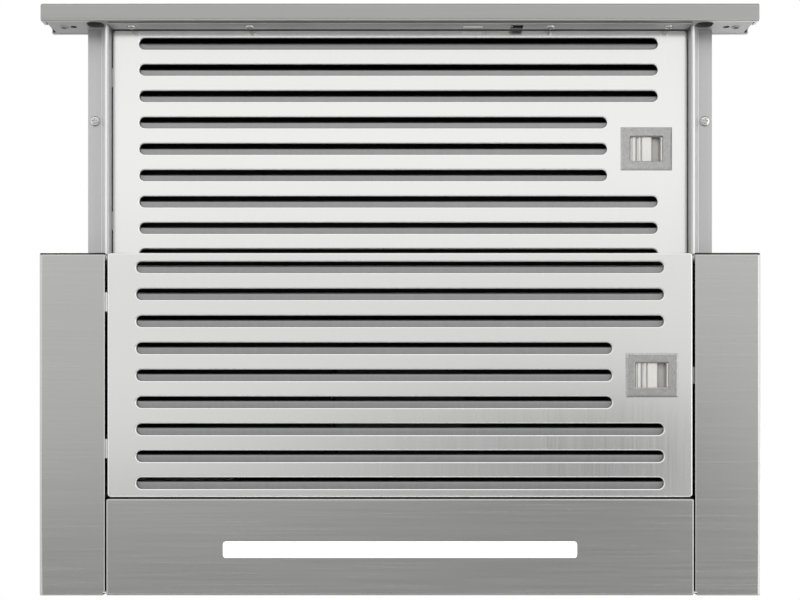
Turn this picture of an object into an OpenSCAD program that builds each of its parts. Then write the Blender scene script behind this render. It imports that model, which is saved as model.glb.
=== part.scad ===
// Telescopic range hood, pulled out. Millimetres, +Z up, front toward -Y.
// The origin is under the middle of the whole hood, at its underside.

/* [Hood] */
// Width of the front panel and across the side covers
hood_w = 598; // [540:1:900]
// Depth of the fixed body, from its front edge to the wall
body_d = 284.5; // [284:0.5:320]
// Height of the casing, from the underside to its top plate
casing_h = 180; // [180:1:230]
// Thickness of the casing sheet
sheet = 1; // [0.8:0.1:1.2]
// Distance that the visor pulls out
travel = 192; // [150:1:196]
// Gap left behind the front panel when the visor is closed
close_gap = 1.1; // [0.6:0.1:3]

/* [Side covers] */
// Height of the side covers
cover_h = 41; // [38:0.5:44]
// Thickness of the stainless sheet of covers, lamp panel and filters
skin = 0.8; // [0.6:0.1:1]
// How far the covers stand out past the casing on each side
cover_out = 30.5; // [28:0.5:45]
// Height of the flange along the filter opening
cover_flange = 11; // [10.5:0.1:11.5]

/* [Filters] */
// Depth of each grease filter
filter_d = 203; // [202:1:206]
// Thickness of each grease filter
filter_h = 9; // [8.5:0.1:10]
// Slots in each filter
slot_count = 9; // [7:2:9]
// Distance from one slot to the next
slot_pitch = 22.4; // [20:0.1:22.6]
// Clear width of a slot
slot_w = 9.2; // [7:0.1:10]
// Radius of the rolled lip, on its outside
lip_r = 1.2; // [1:0.1:1.4]
// Height of the rolled lip above the face
lip_h = 2.4; // [2:0.1:3]
// Plain border left of the slots
slot_margin = 24; // [20:1:40]
// How far the slots beside the latch stop short
latch_room = 43; // [42:1:60]
// Height of the baffle plate above the face
baffle_z = 4.6; // [4:0.1:5]
// How far the baffle slots are shifted toward the front
baffle_shift = 6; // [4:0.1:8]
// Width of a baffle slot
baffle_slot_w = 11; // [9:0.1:12]
// Gap between a filter and the frame around it
filter_gap = 1.8; // [1.4:0.1:2.4]

/* [Filter latch] */
// Width of the latch bezel
bezel_w = 44; // [42:0.5:46]
// Depth of the latch bezel
bezel_d = 37; // [34:0.5:40]
// Width of the window in the bezel
window_w = 28; // [24:0.5:30]
// Depth of the window in the bezel
window_d = 21; // [16:0.5:24]
// Travel of the latch
latch_travel = 5; // [4:0.1:5.5]
// Distance from the bezel to the right edge of the filter
bezel_inset = 12; // [10:0.5:16]
// Width of the latch tongue
tongue_w = 14; // [10:0.5:16]

/* [Visor] */
// Depth of the front panel
front_d = 14.8; // [14:0.1:24]
// Height of the front panel
front_h = 38; // [34:0.5:40]
// Height of the front panel's underside above the body's
front_z = 3; // [1:0.5:5]
// Height of the upper filter's face above the underside
visor_filter_z = 24; // [23:0.5:26]
// Height of the lowest edge of the visor side members
member_z = 12.5; // [12:0.5:13]
// Height of the outer flange of the side members
member_flange_z = 29; // [28:0.5:30]
// Length of the side members behind the front panel
member_l = 269.4; // [260:0.1:270]

/* [Slides] */
// Width of the ball-bearing slides, from the casing to the runner bracket
slide_w = 11.3; // [10.8:0.1:12.7]
// Height of the ball-bearing slides
slide_h = 30; // [28:0.5:34]
// Sheet thickness of the slide rails
rail_t = 1.2; // [1:0.1:1.4]
// Length of the slide rails
rail_l = 260; // [250:1:262]
// Diameter of the slide balls
ball_d = 4.76; // [4.4:0.01:4.9]
// Balls in each row
ball_count = 6; // [4:1:6]
// Distance from one ball to the next
ball_pitch = 11; // [8:0.5:12]

/* [Lamp] */
// Depth of the lamp panel
lamp_d = 80.2; // [79:0.1:80.2]
// Length of the lit slit
slit_l = 293.5; // [200:0.5:320]
// Width of the lit slit
slit_w = 13.4; // [10:0.1:20]
// Distance from the lamp panel's rear edge to the slit's centre line
slit_inset = 38; // [30:0.5:45]

/* [Duct] */
// Outside diameter of the outlet collar
duct_d = 149; // [149:1:152]
// Height of the outlet collar
collar_h = 35; // [30:1:60]
// Wall of the outlet collar
collar_t = 2; // [1.6:0.1:2.5]
// Diameter of the rod that carries the two flaps
flap_pin_d = 3; // [2.5:0.1:4]

/* [Blower] */
// Outside diameter of the impeller
wheel_d = 99; // [94:1:100]
// Length of the impeller
wheel_l = 96; // [80:1:98]
// Blades round the impeller
blade_count = 32; // [24:1:36]
// Width of the scroll housing
scroll_w = 110; // [108:1:120]
// Wall of the scroll housing
scroll_t = 1.5; // [1.2:0.1:2]
// Diameter of the motor
motor_d = 68; // [60:1:70]
// Diameter of the motor shaft
shaft_d = 8; // [6:0.5:9]

/* [Fastening] */
// Diameter of the holes for the screws into the cabinet
cabinet_hole_d = 5; // [4:0.1:6]
// Height of the cabinet screws above the underside
cabinet_hole_z = 130; // [100:1:150]
// Distance between the two cabinet screws on one side
cabinet_hole_pitch = 180; // [120:1:200]
// Diameter of the sheet metal screws
screw_d = 3.9; // [3:0.1:4.2]

/* [Hidden] */
$fn = 48;

cut = 1; // how far a cutting tool runs past a face
run = 0.3; // gap between pieces that move past each other
fit = 0.05; // radial clearance of a pin in its bore
hole_fit = 0.15; // radial clearance of a screw in its hole
thread_fit = 0.02; // radial gap that stands for a thread
total_d = body_d + close_gap + front_d + travel;
y_back = total_d / 2;
y_body = y_back - body_d;
y_front = -total_d / 2;
y_visor = y_front + front_d;
half_w = hood_w / 2;
case_x = half_w - cover_out; // outer face of the casing side
case_in = case_x - sheet;
case_y0 = y_body + 8.3; // front of the casing, behind the front panel when closed
case_y1 = y_back - skin;
member_room = 10.2; // from the cover's inner edge to the runner bracket, for the side member
bracket_t = 1.2; // sheet of the runner brackets
strip_x = case_in - slide_w - bracket_t - member_room; // inner edge of the side covers
filter_w = 2 * (strip_x - filter_gap);
lower_y = y_body + run;
lower_z = 1;
upper_y = y_visor + 0.5;
lamp_y = y_back - lamp_d;
slit_y = y_back - slit_inset;

// Screws and rods

// Pan-head screw along +Z, with its head below z = 0 and a cross recess
module pan_screw(grip, d = screw_d) {
    r = d * 0.95;
    h = d * 0.55;
    cylinder(h = grip, d = d);
    difference() {
        translate([0, 0, -h]) rotate_extrude() intersection() {
            translate([0, r * 1.6]) circle(r = r * 1.6);
            square([r, h]);
        }
        for (a = [0, 90]) rotate(a) translate([-r * 0.55, -r * 0.12, -h - cut])
            cube([r * 1.1, r * 0.24, cut + h * 0.5]);
    }
}

// Sheet metal: a folded strip with true bends

function unit(v) = v / norm(v);
function left_of(v) = [-v.y, v.x];
function turn(a, b, c) = let(u = unit(b - a), v = unit(c - b)) atan2(u.x * v.y - u.y * v.x, u * v);
function spin(v, a) = [v.x * cos(a) - v.y * sin(a), v.x * sin(a) + v.y * cos(a)];

// One bend at b, between the strips from a to b and from b to c
module bend(a, b, c, t, r) {
    angle = turn(a, b, c);
    mid = r + t / 2;
    u = unit(b - a);
    side = left_of(u) * sign(angle);
    centre = b - u * mid * tan(abs(angle) / 2) + side * mid;
    reach = (r + t) * 1.5;
    translate(centre) intersection() {
        difference() {
            circle(r = r + t);
            circle(r = r);
        }
        polygon([[0, 0], -side * reach, spin(-side, angle / 2) * reach * 1.4,
            spin(-side, angle) * reach]);
    }
}

// Folded section of sheet t with inner bend radius r, along the middle of the sheet
module folded(path, t, r = 0.6) {
    last = len(path) - 1;
    back = [for (i = [0:last]) (i == 0 || i == last) ? 0
        : (r + t / 2) * tan(abs(turn(path[i - 1], path[i], path[i + 1])) / 2)];
    // a slanting strip runs a hair into its bends, so that rounding leaves no seam
    for (i = [0:last - 1]) {
        u = unit(path[i + 1] - path[i]);
        lap = abs(u.x * u.y) > 0.001 ? 0.02 : 0;
        length = norm(path[i + 1] - path[i]) - back[i] - back[i + 1] + 2 * lap;
        translate(path[i] + u * (back[i] - lap)) rotate(atan2(u.y, u.x)) translate([0, -t / 2])
            square([length, t]);
    }
    for (i = [1:last - 1]) bend(path[i - 1], path[i], path[i + 1], t, r);
}

// Extrude a section drawn in X and Z along Y, or one drawn in Y and Z along X
module along_y(y0, y1) translate([0, y1, 0]) rotate([90, 0, 0]) linear_extrude(y1 - y0) children();
module along_x(x0, x1) translate([x0, 0, 0]) rotate([90, 0, 90]) linear_extrude(x1 - x0) children();

// Right-hand pieces are drawn, left-hand ones are their mirror image
module hand(side) mirror([side < 0 ? 1 : 0, 0, 0]) children();

// Side covers

tab_w = 16;
tab_gap = 3;
tab_y = [filter_d * 0.2, filter_d * 0.8];
tab_slot_h = 4.9;
tongue_z = 3.2;
tongue_t = 2;

// Slots for the filter tabs on the left, or for the latch tongue on the right
module catch_slots(side, y, z, top) {
    if (side < 0) for (ty = tab_y)
        translate([strip_x - filter_gap - cut, y + ty - tab_w / 2 - tab_gap, z + 1 - run])
            cube([filter_gap + 2 * cut + sheet, tab_w + 2 * tab_gap, tab_slot_h]);
    else translate([strip_x - filter_gap - cut, y + filter_d / 2 - tongue_w / 2 - 1, z + tongue_z - run])
        cube([filter_gap + 2 * cut + sheet, tongue_w + 2, tongue_t + 2 * run]);
}

module side_cover(side) color("silver") hand(side) difference() {
    union() {
        along_y(y_body, y_back) folded([
            [strip_x + skin / 2, cover_flange], [strip_x + skin / 2, skin / 2],
            [half_w - skin / 2, skin / 2], [half_w - skin / 2, cover_h - skin / 2],
            [case_x + skin / 2, cover_h - skin / 2], [case_x + skin / 2, cover_h + 10]], skin);
        for (y = [y_body, y_back - skin]) along_y(y, y + skin) {
            translate([case_x, skin]) square([half_w - skin - case_x, cover_h - 2 * skin]);
            translate([strip_x + skin, skin]) square([case_x - strip_x - skin, cover_flange - skin]);
        }
    }
    catch_slots(side, lower_y, lower_z);
    translate([strip_x - cut, y_back - 3, -cut]) cube([cut + 2.5, 3 + cut, cut + cover_flange]);
    for (y = cover_screw_y) translate([case_x - cut, y, cover_h + 5]) rotate([0, 90, 0])
        cylinder(h = skin + 2 * cut, d = screw_d + 2 * hole_fit);
}

cover_screw_y = [case_y0 + 30, (case_y0 + case_y1) / 2, case_y1 - 30];

module cover_screws() color("gray") for (side = [-1, 1], y = cover_screw_y) hand(side)
    translate([case_x + skin, y, cover_h + 5]) rotate([0, -90, 0]) pan_screw(skin + sheet - 0.1);

// Casing

outlet_y = y_back - 116; // centre of the collar
outlet_x = scroll_w - 2 * scroll_t; // mouth of the scroll
outlet_l = 84; // length of the scroll's mouth along Y
front_open_z = 44; // the casing front stops here, over the visor
slide_z = member_flange_z + 4 + slide_h / 2; // middle of the slides

module casing_shell() color("gainsboro") difference() {
    along_y(case_y0, case_y1) folded([
        [-case_x + sheet / 2, skin], [-case_x + sheet / 2, casing_h - sheet / 2],
        [case_x - sheet / 2, casing_h - sheet / 2], [case_x - sheet / 2, skin]], sheet, 1.2);
    translate([-outlet_x / 2, outlet_y - outlet_l / 2 + scroll_t, casing_h - sheet - cut])
        cube([outlet_x, outlet_l - 2 * scroll_t, sheet + 2 * cut]);
    for (side = [-1, 1], y = cover_screw_y) hand(side)
        translate([case_in - cut, y, cover_h + 5]) rotate([0, 90, 0])
            cylinder(h = sheet + 2 * cut, d = screw_d + 2 * hole_fit);
    for (side = [-1, 1], y = [-0.5, 0.5]) hand(side)
        translate([case_in - cut, outlet_y - 20 + y * cabinet_hole_pitch, cabinet_hole_z])
            rotate([0, 90, 0]) cylinder(h = sheet + 2 * cut, d = cabinet_hole_d);
    for (p = blower_screw_at) translate([p.x, p.y, casing_h - sheet - cut])
        cylinder(h = sheet + 2 * cut, d = screw_d + 2 * hole_fit);
    for (a = collar_screw_angles) translate(collar_screw_at(a) + [0, 0, -sheet - cut])
        cylinder(h = sheet + 2 * cut, d = screw_d + 2 * hole_fit);
    translate([gland_at.x, gland_at.y, casing_h - sheet - cut])
        cylinder(h = sheet + 2 * cut, d = gland_d + 2 * hole_fit);
}

module casing_front() color("gainsboro") difference() {
    union() {
        translate([0, 0, front_open_z]) linear_extrude(casing_h - sheet - front_open_z) folded([
            [-case_in + sheet / 2, case_y0 + 14], [-case_in + sheet / 2, case_y0 + sheet / 2],
            [case_in - sheet / 2, case_y0 + sheet / 2], [case_in - sheet / 2, case_y0 + 14]], sheet);
        along_x(-case_in + 16, case_in - 16) folded([
            [case_y0 + sheet / 2, casing_h - 20], [case_y0 + sheet / 2, casing_h - sheet * 1.5],
            [case_y0 + 16, casing_h - sheet * 1.5]], sheet);
        along_x(-case_in + 16, case_in - 16) folded([
            [case_y0 + sheet / 2, front_open_z + 12], [case_y0 + sheet / 2, front_open_z + sheet / 2],
            [case_y0 + 9, front_open_z + sheet / 2]], sheet);
    }
    for (side = [-1, 1]) hand(side) translate([case_in - 15, case_y0 - cut, front_open_z - cut])
        cube([15 + cut, 16 + cut, slide_z + slide_h / 2 + 3 - front_open_z + cut]);
}

module casing_back() color("gainsboro") difference() {
    union() {
        translate([0, 0, cover_flange + 4]) linear_extrude(casing_h - sheet - cover_flange - 4) folded([
            [-case_in + sheet / 2, case_y1 - 11], [-case_in + sheet / 2, case_y1 - sheet / 2],
            [case_in - sheet / 2, case_y1 - sheet / 2], [case_in - sheet / 2, case_y1 - 11]], sheet);
        along_x(-case_in + 16, case_in - 16) folded([
            [case_y1 - sheet / 2, casing_h - 20], [case_y1 - sheet / 2, casing_h - sheet * 1.5],
            [case_y1 - 16, casing_h - sheet * 1.5]], sheet);
    }
    for (x = lamp_screw_x) translate([x, case_y1 - sheet - cut, lamp_screw_z]) rotate([-90, 0, 0])
        cylinder(h = sheet + 2 * cut, d = screw_d + 2 * hole_fit);
}

// Lamp panel with its light

lamp_screw_x = [-190, 0, 190];
lamp_screw_z = cover_flange + 8;
lamp_w = filter_w + 1;
lens_flange = 2.5;
lamp_box_h = 11;

module slit_outline(grow = 0) {
    r = 2.4;
    for (x = [-1, 1], y = [-1, 1])
        translate([x * (slit_l / 2 + grow - r), slit_y + y * (slit_w / 2 + grow - r)]) circle(r = r);
    translate([-slit_l / 2 - grow + r, slit_y - slit_w / 2 - grow])
        square([slit_l + 2 * grow - 2 * r, slit_w + 2 * grow]);
    translate([-slit_l / 2 - grow, slit_y - slit_w / 2 - grow + r])
        square([slit_l + 2 * grow, slit_w + 2 * grow - 2 * r]);
}

module lamp_panel() color("lightgray") difference() {
    union() {
        along_x(-lamp_w / 2, lamp_w / 2) folded([
            [lamp_y + skin / 2, cover_flange], [lamp_y + skin / 2, skin / 2],
            [y_back - skin / 2, skin / 2], [y_back - skin / 2, lamp_screw_z + 5]], skin);
        for (side = [-1, 1]) hand(side) along_x(lamp_w / 2 - skin, lamp_w / 2)
            translate([lamp_y + skin, skin]) square([lamp_d - 2 * skin, cover_flange - skin]);
    }
    translate([0, 0, -cut]) linear_extrude(skin + 2 * cut) slit_outline();
    for (x = lamp_screw_x) translate([x, y_back - skin - cut, lamp_screw_z]) rotate([-90, 0, 0])
        cylinder(h = skin + 2 * cut, d = screw_d + 2 * hole_fit);
}

module light_lens() color("white") {
    translate([0, 0, 0.2]) linear_extrude(skin - 0.2) slit_outline(-0.1);
    translate([0, 0, skin]) linear_extrude(1.5) slit_outline(lens_flange);
}

module lamp_housing() color("gainsboro") {
    w = slit_w + 2 * lens_flange + 2 * run;
    along_x(-slit_l / 2 - 8, slit_l / 2 + 8) folded([
        [slit_y - w / 2 - 7, skin * 1.5], [slit_y - w / 2 - skin / 2, skin * 1.5],
        [slit_y - w / 2 - skin / 2, lamp_box_h], [slit_y + w / 2 + skin / 2, lamp_box_h],
        [slit_y + w / 2 + skin / 2, skin * 1.5], [slit_y + w / 2 + 7, skin * 1.5]], skin, 0.4);
    for (side = [-1, 1]) hand(side) along_x(slit_l / 2 + 8 - skin, slit_l / 2 + 8)
        translate([slit_y - w / 2, skin]) square([w, lamp_box_h - skin * 1.5]);
}

module led_strip() color("ivory") {
    translate([-slit_l / 2 + 4, slit_y - 5, lamp_box_h - skin / 2 - 1.6]) cube([slit_l - 8, 10, 1.6]);
    for (i = [0:15]) translate([(i - 7.5) * (slit_l - 20) / 15, slit_y, lamp_box_h - skin / 2 - 2])
        cube([3.5, 2.8, 0.8], center = true);
}

module lamp_screws() color("gray") for (x = lamp_screw_x)
    translate([x, case_y1 - sheet, lamp_screw_z]) rotate([-90, 0, 0]) pan_screw(sheet + skin);

// Outlet collar with two non-return flaps

collar_flange_r = duct_d / 2 + 12;
collar_screw_angles = [45, 135, 225, 315];
collar_screw_r = duct_d / 2 + 7;
function collar_screw_at(a) = [0, outlet_y, casing_h] + collar_screw_r * [cos(a), sin(a), 0];
duct_in = duct_d / 2 - collar_t;
flap_z = casing_h + 9;
flap_t = 1;
flap_r = duct_in - 1.5;
flap_seat_w = 3.5;
knuckle_r = flap_pin_d / 2 + 1.5;

module outlet_collar() color("dimgray") difference() {
    union() {
        translate([0, outlet_y, casing_h]) rotate_extrude() {
            translate([duct_in, 0]) square([collar_t, collar_h]);
            translate([duct_in, 0]) square([collar_flange_r - duct_in, 2.5]);
            translate([duct_in - flap_seat_w, flap_z - casing_h - flap_t / 2 - run - 1.5])
                square([flap_seat_w + collar_t / 2, 1.5]);
        }
        for (s = [-1, 1]) translate([0, outlet_y + s * (duct_in - 0.7), flap_z]) rotate([90, 0, 0])
            cylinder(h = 2.6, r = knuckle_r, center = true);
    }
    flap_rod();
    for (a = collar_screw_angles) translate(collar_screw_at(a) + [0, 0, -cut])
        cylinder(h = 2.5 + 2 * cut, d = screw_d + 2 * hole_fit);
}

module collar_screws() color("gray") for (a = collar_screw_angles)
    translate(collar_screw_at(a) + [0, 0, 2.5]) mirror([0, 0, 1]) pan_screw(2.5 + sheet + 2);

module flap_rod() color("silver") translate([0, outlet_y, flap_z]) rotate([90, 0, 0])
    cylinder(h = duct_d - 1, d = flap_pin_d, center = true);

// Knuckles alternate along the rod: the right flap takes the others
flap_knuckle_l = 22;
module flap(side) color("darkgray") translate([0, outlet_y, flap_z]) {
    start = knuckle_r + 0.6;
    intersection() {
        translate([0, 0, -flap_t / 2]) cylinder(h = flap_t, r = flap_r);
        hand(side) translate([start, -flap_r, -flap_t]) cube([flap_r, 2 * flap_r, 2 * flap_t]);
    }
    for (k = [-1, 0, 1, 2]) if ((k % 2 == 0) == (side > 0)) {
        y = (k - 0.5) * (flap_knuckle_l + 1);
        difference() {
            union() {
                translate([0, y, 0]) rotate([90, 0, 0])
                    cylinder(h = flap_knuckle_l, r = knuckle_r, center = true);
                hand(side) translate([0, y - flap_knuckle_l / 2, -flap_t / 2])
                    cube([start + 1, flap_knuckle_l, flap_t]);
            }
            translate([0, y, 0]) rotate([90, 0, 0])
                cylinder(h = flap_knuckle_l + 2 * cut, d = flap_pin_d + 2 * fit, center = true);
        }
    }
}

// Blower: a scroll in two halves, hung from the top plate

scroll_y = outlet_y - outlet_l / 2;
scroll_top = casing_h - sheet;
scroll_z = scroll_top - wheel_d / 2 - 7.5;
inlet_r = wheel_d / 2 - 6;
inlet_lip = 3.5; // the cheek rolls inward round the inlet
ear_l = 42;
ear_w = 20;
blower_screw_at = [for (x = [-1, 1], y = [10, outlet_l - 10])
    [x * (scroll_w / 2 + ear_l - 7), scroll_y + y]];

// Spiral outline in Y and Z, drawn inward by t: it opens upward behind the wheel
function scroll_r(a) = wheel_d / 2 + 6 + (outlet_l - wheel_d / 2 - 6) * (a - 90) / 270;
module scroll_outline(t = 0, rise = 0) polygon(concat(
    [for (a = [90:15:360]) [scroll_y + (scroll_r(a) - t) * cos(a), scroll_z + (scroll_r(a) - t) * sin(a)]],
    [[scroll_y + outlet_l - t, scroll_top + rise], [scroll_y + t, scroll_top + rise]]));

module scroll_half(side) color("dimgray") hand(side) {
    difference() {
        union() {
            along_x(0, scroll_w / 2) scroll_outline();
            for (p = [10, outlet_l - 10])
                translate([scroll_w / 2 - 1, scroll_y + p - ear_w / 2, scroll_top - 2.5])
                    cube([ear_l + 1, ear_w, 2.5]);
        }
        along_x(-cut, scroll_w / 2 - scroll_t) scroll_outline(scroll_t, cut);
        translate([scroll_w / 2 - scroll_t - cut, scroll_y, scroll_z]) rotate([0, 90, 0])
            cylinder(h = scroll_t + 2 * cut, r = inlet_r + inlet_lip);
        for (p = blower_screw_at) translate([abs(p.x), p.y, scroll_top - 2.5 - cut])
            cylinder(h = 2.5 + 2 * cut, d = screw_d + 2 * thread_fit);
    }
    translate([scroll_w / 2, scroll_y, scroll_z]) rotate([0, 90, 0]) rotate_extrude() intersection() {
        translate([inlet_r + inlet_lip, -inlet_lip]) difference() {
            circle(r = inlet_lip);
            circle(r = inlet_lip - scroll_t);
        }
        translate([inlet_r, -inlet_lip]) square([inlet_lip, inlet_lip]);
    }
    if (side < 0) for (a = [30, 150, 270]) translate([scroll_w / 2 - 0.2, scroll_y, scroll_z])
        rotate([a, 0, 0]) translate([0, bracket_r, 0]) rotate([0, 90, 0]) difference() {
            cylinder(h = bracket_x + 0.2, d = 9);
            translate([0, 0, 1]) cylinder(h = bracket_x + cut, d = bracket_screw_d + 2 * thread_fit);
        }
}

module blower_screws() color("gray") {
    for (p = blower_screw_at) translate([p.x, p.y, casing_h]) mirror([0, 0, 1]) pan_screw(sheet + 5);
    for (a = [30, 150, 270]) translate([-scroll_w / 2 - bracket_x - 1.5, scroll_y, scroll_z])
        rotate([a, 0, 0]) translate([0, bracket_r, 0]) rotate([0, 90, 0]) pan_screw(5, bracket_screw_d);
}

bracket_x = 6; // from the cheek of the scroll to the bracket
bracket_r = inlet_r + 8;
motor_l = 54;
bracket_screw_d = 3.4;

module at_motor() translate([-scroll_w / 2 - bracket_x, scroll_y, scroll_z]) rotate([0, 90, 0]) children();

module motor_bracket() color("silver") at_motor() mirror([0, 0, 1]) linear_extrude(1.5) difference() {
    union() {
        circle(r = motor_d / 2);
        for (a = [0, 120, 240]) rotate(a) {
            translate([0, -6]) square([bracket_r, 12]);
            translate([bracket_r, 0]) circle(r = 6);
        }
    }
    circle(r = shaft_d / 2 + 3);
    for (a = [0, 120, 240]) rotate(a) translate([bracket_r, 0])
        circle(d = bracket_screw_d + 2 * hole_fit, $fn = 24);
}

module motor() color("slategray") at_motor() difference() {
    union() {
        cylinder(h = motor_l, d = motor_d - 4);
        translate([0, 0, motor_l * 0.3]) cylinder(h = motor_l * 0.4, d = motor_d);
    }
    translate([0, 0, -cut]) cylinder(h = motor_l + 2 * cut, d = shaft_d + 2 * fit);
}

module motor_shaft() color("silver") at_motor() cylinder(h = scroll_w / 2 + bracket_x + 14, d = shaft_d);

// One forward-curved blade: part of a ring between the two wheel radii
module blade() intersection() {
    difference() {
        circle(d = wheel_d - 1);
        circle(d = wheel_d - 22);
    }
    translate([wheel_d / 2 - 5.5, 0]) difference() {
        circle(r = 8);
        circle(r = 7);
    }
    translate([wheel_d / 4, 0]) square([wheel_d, wheel_d]);
}

module impeller() color("dimgray") translate([0, scroll_y, scroll_z]) rotate([0, 90, 0]) {
    translate([0, 0, -wheel_l / 2 + 1]) linear_extrude(wheel_l - 2)
        for (i = [0:blade_count - 1]) rotate(i * 360 / blade_count) blade();
    for (s = [-1, 1]) translate([0, 0, s * (wheel_l / 2 - 1.5)]) difference() {
        cylinder(h = 3, d = wheel_d, center = true);
        cylinder(h = 3 + 2 * cut, d = wheel_d - 8, center = true);
    }
    difference() {
        union() {
            cylinder(h = 2, d = wheel_d - 4);
            cylinder(h = 12, d = shaft_d + 10);
        }
        translate([0, 0, -cut]) cylinder(h = 12 + 2 * cut, d = shaft_d);
    }
}

// Electrical box with its cable gland

ebox = [96, 78, 46];
ebox_at = [-case_in + 14, case_y1 - 100, casing_h - sheet - ebox.z];
gland_d = 20;
gland_at = [ebox_at.x + ebox.x / 2, ebox_at.y + ebox.y / 2];

module control_box() color("white") translate(ebox_at) difference() {
    cube(ebox);
    translate([2, 2, -cut]) cube([ebox.x - 4, ebox.y - 4, ebox.z - 2 + cut]);
    translate([ebox.x / 2, ebox.y / 2, ebox.z - 2 - cut])
        cylinder(h = 2 + 2 * cut, d = gland_d + 2 * hole_fit);
    for (i = [0:4]) translate([12 + i * 16, -cut, 12]) cube([5, 2 + 2 * cut, 16]);
}

module control_lid() color("whitesmoke") translate([ebox_at.x, ebox_at.y, ebox_at.z - 2]) {
    translate([-1, -1, 0]) cube([ebox.x + 2, ebox.y + 2, 2]);
    translate([2 + fit, 2 + fit, 2]) difference() {
        cube([ebox.x - 4 - 2 * fit, ebox.y - 4 - 2 * fit, 4]);
        translate([2, 2, -cut]) cube([ebox.x - 8, ebox.y - 8, 4 + 2 * cut]);
    }
}

module cable_gland() color("black") translate([gland_at.x, gland_at.y, casing_h - sheet]) difference() {
    union() {
        translate([0, 0, -2]) cylinder(h = 12, d = gland_d);
        translate([0, 0, -8]) cylinder(h = 6, d = gland_d + 6, $fn = 6);
        translate([0, 0, sheet]) cylinder(h = 3, d = gland_d + 8);
        translate([0, 0, sheet + 3]) cylinder(h = 11, d = gland_d + 4, $fn = 8);
    }
    translate([0, 0, -8 - cut]) cylinder(h = 24 + 2 * cut, d = 9);
}

// Ball-bearing slides, drawn as sections from the casing side inward

bracket_x0 = strip_x + member_room; // inner face of the runner bracket
ball_u = slide_w * 0.52;
race_out = slide_h / 2 - rail_t;
race_in = race_out - ball_d + 0.46;
ball_v = (race_out + race_in) / 2;
race_r = ball_d / 2 + fit;
rail_y = case_y0 + 0.5;
inner_rail_y = y_visor + 6.4;
cage_end = 4; // from the last ball to the end of the cage
cage_l = (ball_count - 1) * ball_pitch + 2 * cage_end;
cage_y = inner_rail_y + rail_l - cage_l - 0.5;

module place_slide(side, y0, y1) hand(side) translate([case_in, 0, slide_z]) mirror([1, 0, 0])
    along_y(y0, y1) children();

module slide_outer(side) color("silver") place_slide(side, rail_y, rail_y + rail_l) difference() {
    union() {
        translate([0, -slide_h / 2]) square([rail_t, slide_h]);
        for (s = [-1, 1]) mirror([0, s < 0 ? 1 : 0]) {
            translate([0, race_out]) square([slide_w - 1.8, rail_t]);
            translate([slide_w - 1.8 - rail_t, race_out - 1.6]) square([rail_t, 1.6 + rail_t / 2]);
        }
    }
    for (s = [-1, 1]) translate([ball_u, s * ball_v]) circle(r = race_r);
}

module slide_inner(side) color("silver") place_slide(side, inner_rail_y, inner_rail_y + rail_l) difference() {
    folded([[3, race_in - rail_t / 2], [slide_w - rail_t / 2, race_in - rail_t / 2],
        [slide_w - rail_t / 2, rail_t / 2 - race_in], [3, rail_t / 2 - race_in]], rail_t);
    for (s = [-1, 1]) translate([ball_u, s * ball_v]) circle(r = race_r);
}

// Centres of the balls of one side, in the slide's own section
function ball_at(i, s) = [ball_u, cage_y + cage_end + i * ball_pitch, s * ball_v];

module ball_cage(side) color("khaki") difference() {
    place_slide(side, cage_y, cage_y + cage_l) {
        translate([rail_t + 0.4, -ball_v - 0.45]) square([0.8, 2 * ball_v + 0.9]);
        for (s = [-1, 1]) translate([rail_t + 0.4, s * ball_v - 0.45]) square([ball_u + 2.9 - rail_t, 0.9]);
    }
    hand(side) for (i = [0:ball_count - 1], s = [-1, 1])
        translate([case_in - ball_u, ball_at(i, s).y, slide_z + s * ball_v])
            cylinder(h = 3, r = race_r, center = true);
}

module balls(side) color("white") hand(side) for (i = [0:ball_count - 1], s = [-1, 1])
    translate([case_in - ball_u, ball_at(i, s).y, slide_z + s * ball_v]) sphere(d = ball_d);

// Switch at the end of the slide, which turns the hood off when the visor closes

switch_at = [bracket_x0 - 2.5, y_visor + member_l + travel + 4.5, slide_z - 8];
switch_size = [6.5, case_y1 - sheet - switch_at.y, 20];
lever_pin_d = 1.2;
lever_y = switch_at.y - 2;

module door_switch() color("darkred") {
    translate(switch_at) cube(switch_size);
    for (x = [0, switch_size.x - 1]) translate([switch_at.x + x, lever_y, switch_at.z + 0.7]) difference() {
        translate([0, -1.6, -1.7]) cube([1, 3.7, 3.4]);
        translate([-cut, 0, 0]) rotate([0, 90, 0]) cylinder(h = 1 + 2 * cut, d = lever_pin_d, $fn = 24);
    }
    translate([switch_at.x, lever_y, switch_at.z + 0.7]) rotate([0, 90, 0])
        cylinder(h = switch_size.x, d = lever_pin_d, $fn = 24);
}

module switch_lever() color("silver") translate([switch_at.x + 1 + run, lever_y, switch_at.z + 0.7])
    difference() {
        union() {
            rotate([0, 90, 0]) cylinder(h = switch_size.x - 2 - 2 * run, r = 1.15, $fn = 24);
            translate([0, -1.15, 0]) cube([switch_size.x - 2 - 2 * run, 0.5, 17]);
        }
        translate([-cut, 0, 0]) rotate([0, 90, 0])
            cylinder(h = switch_size.x + 2 * cut, d = lever_pin_d + 2 * fit, $fn = 24);
    }

// Front panel with the plates behind it

front_sheet = 1;
plate_z = front_z + front_sheet + 0.2;
plate_h = front_h - 5.5;
crossbar_z = front_z + 5;
crossbar_h = 14;
crossbar_t = 1.2;
crossbar_screw_x = [hood_w * 0.2115, strip_x - 18.8];
fan_button_at = [98.5, front_z + 13.5];
fan_button_size = [10, 9];
lamp_button_at = [61.5, front_z + 13];
lamp_button_size = [17, 4.4];
button_travel = 1.5;

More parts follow.
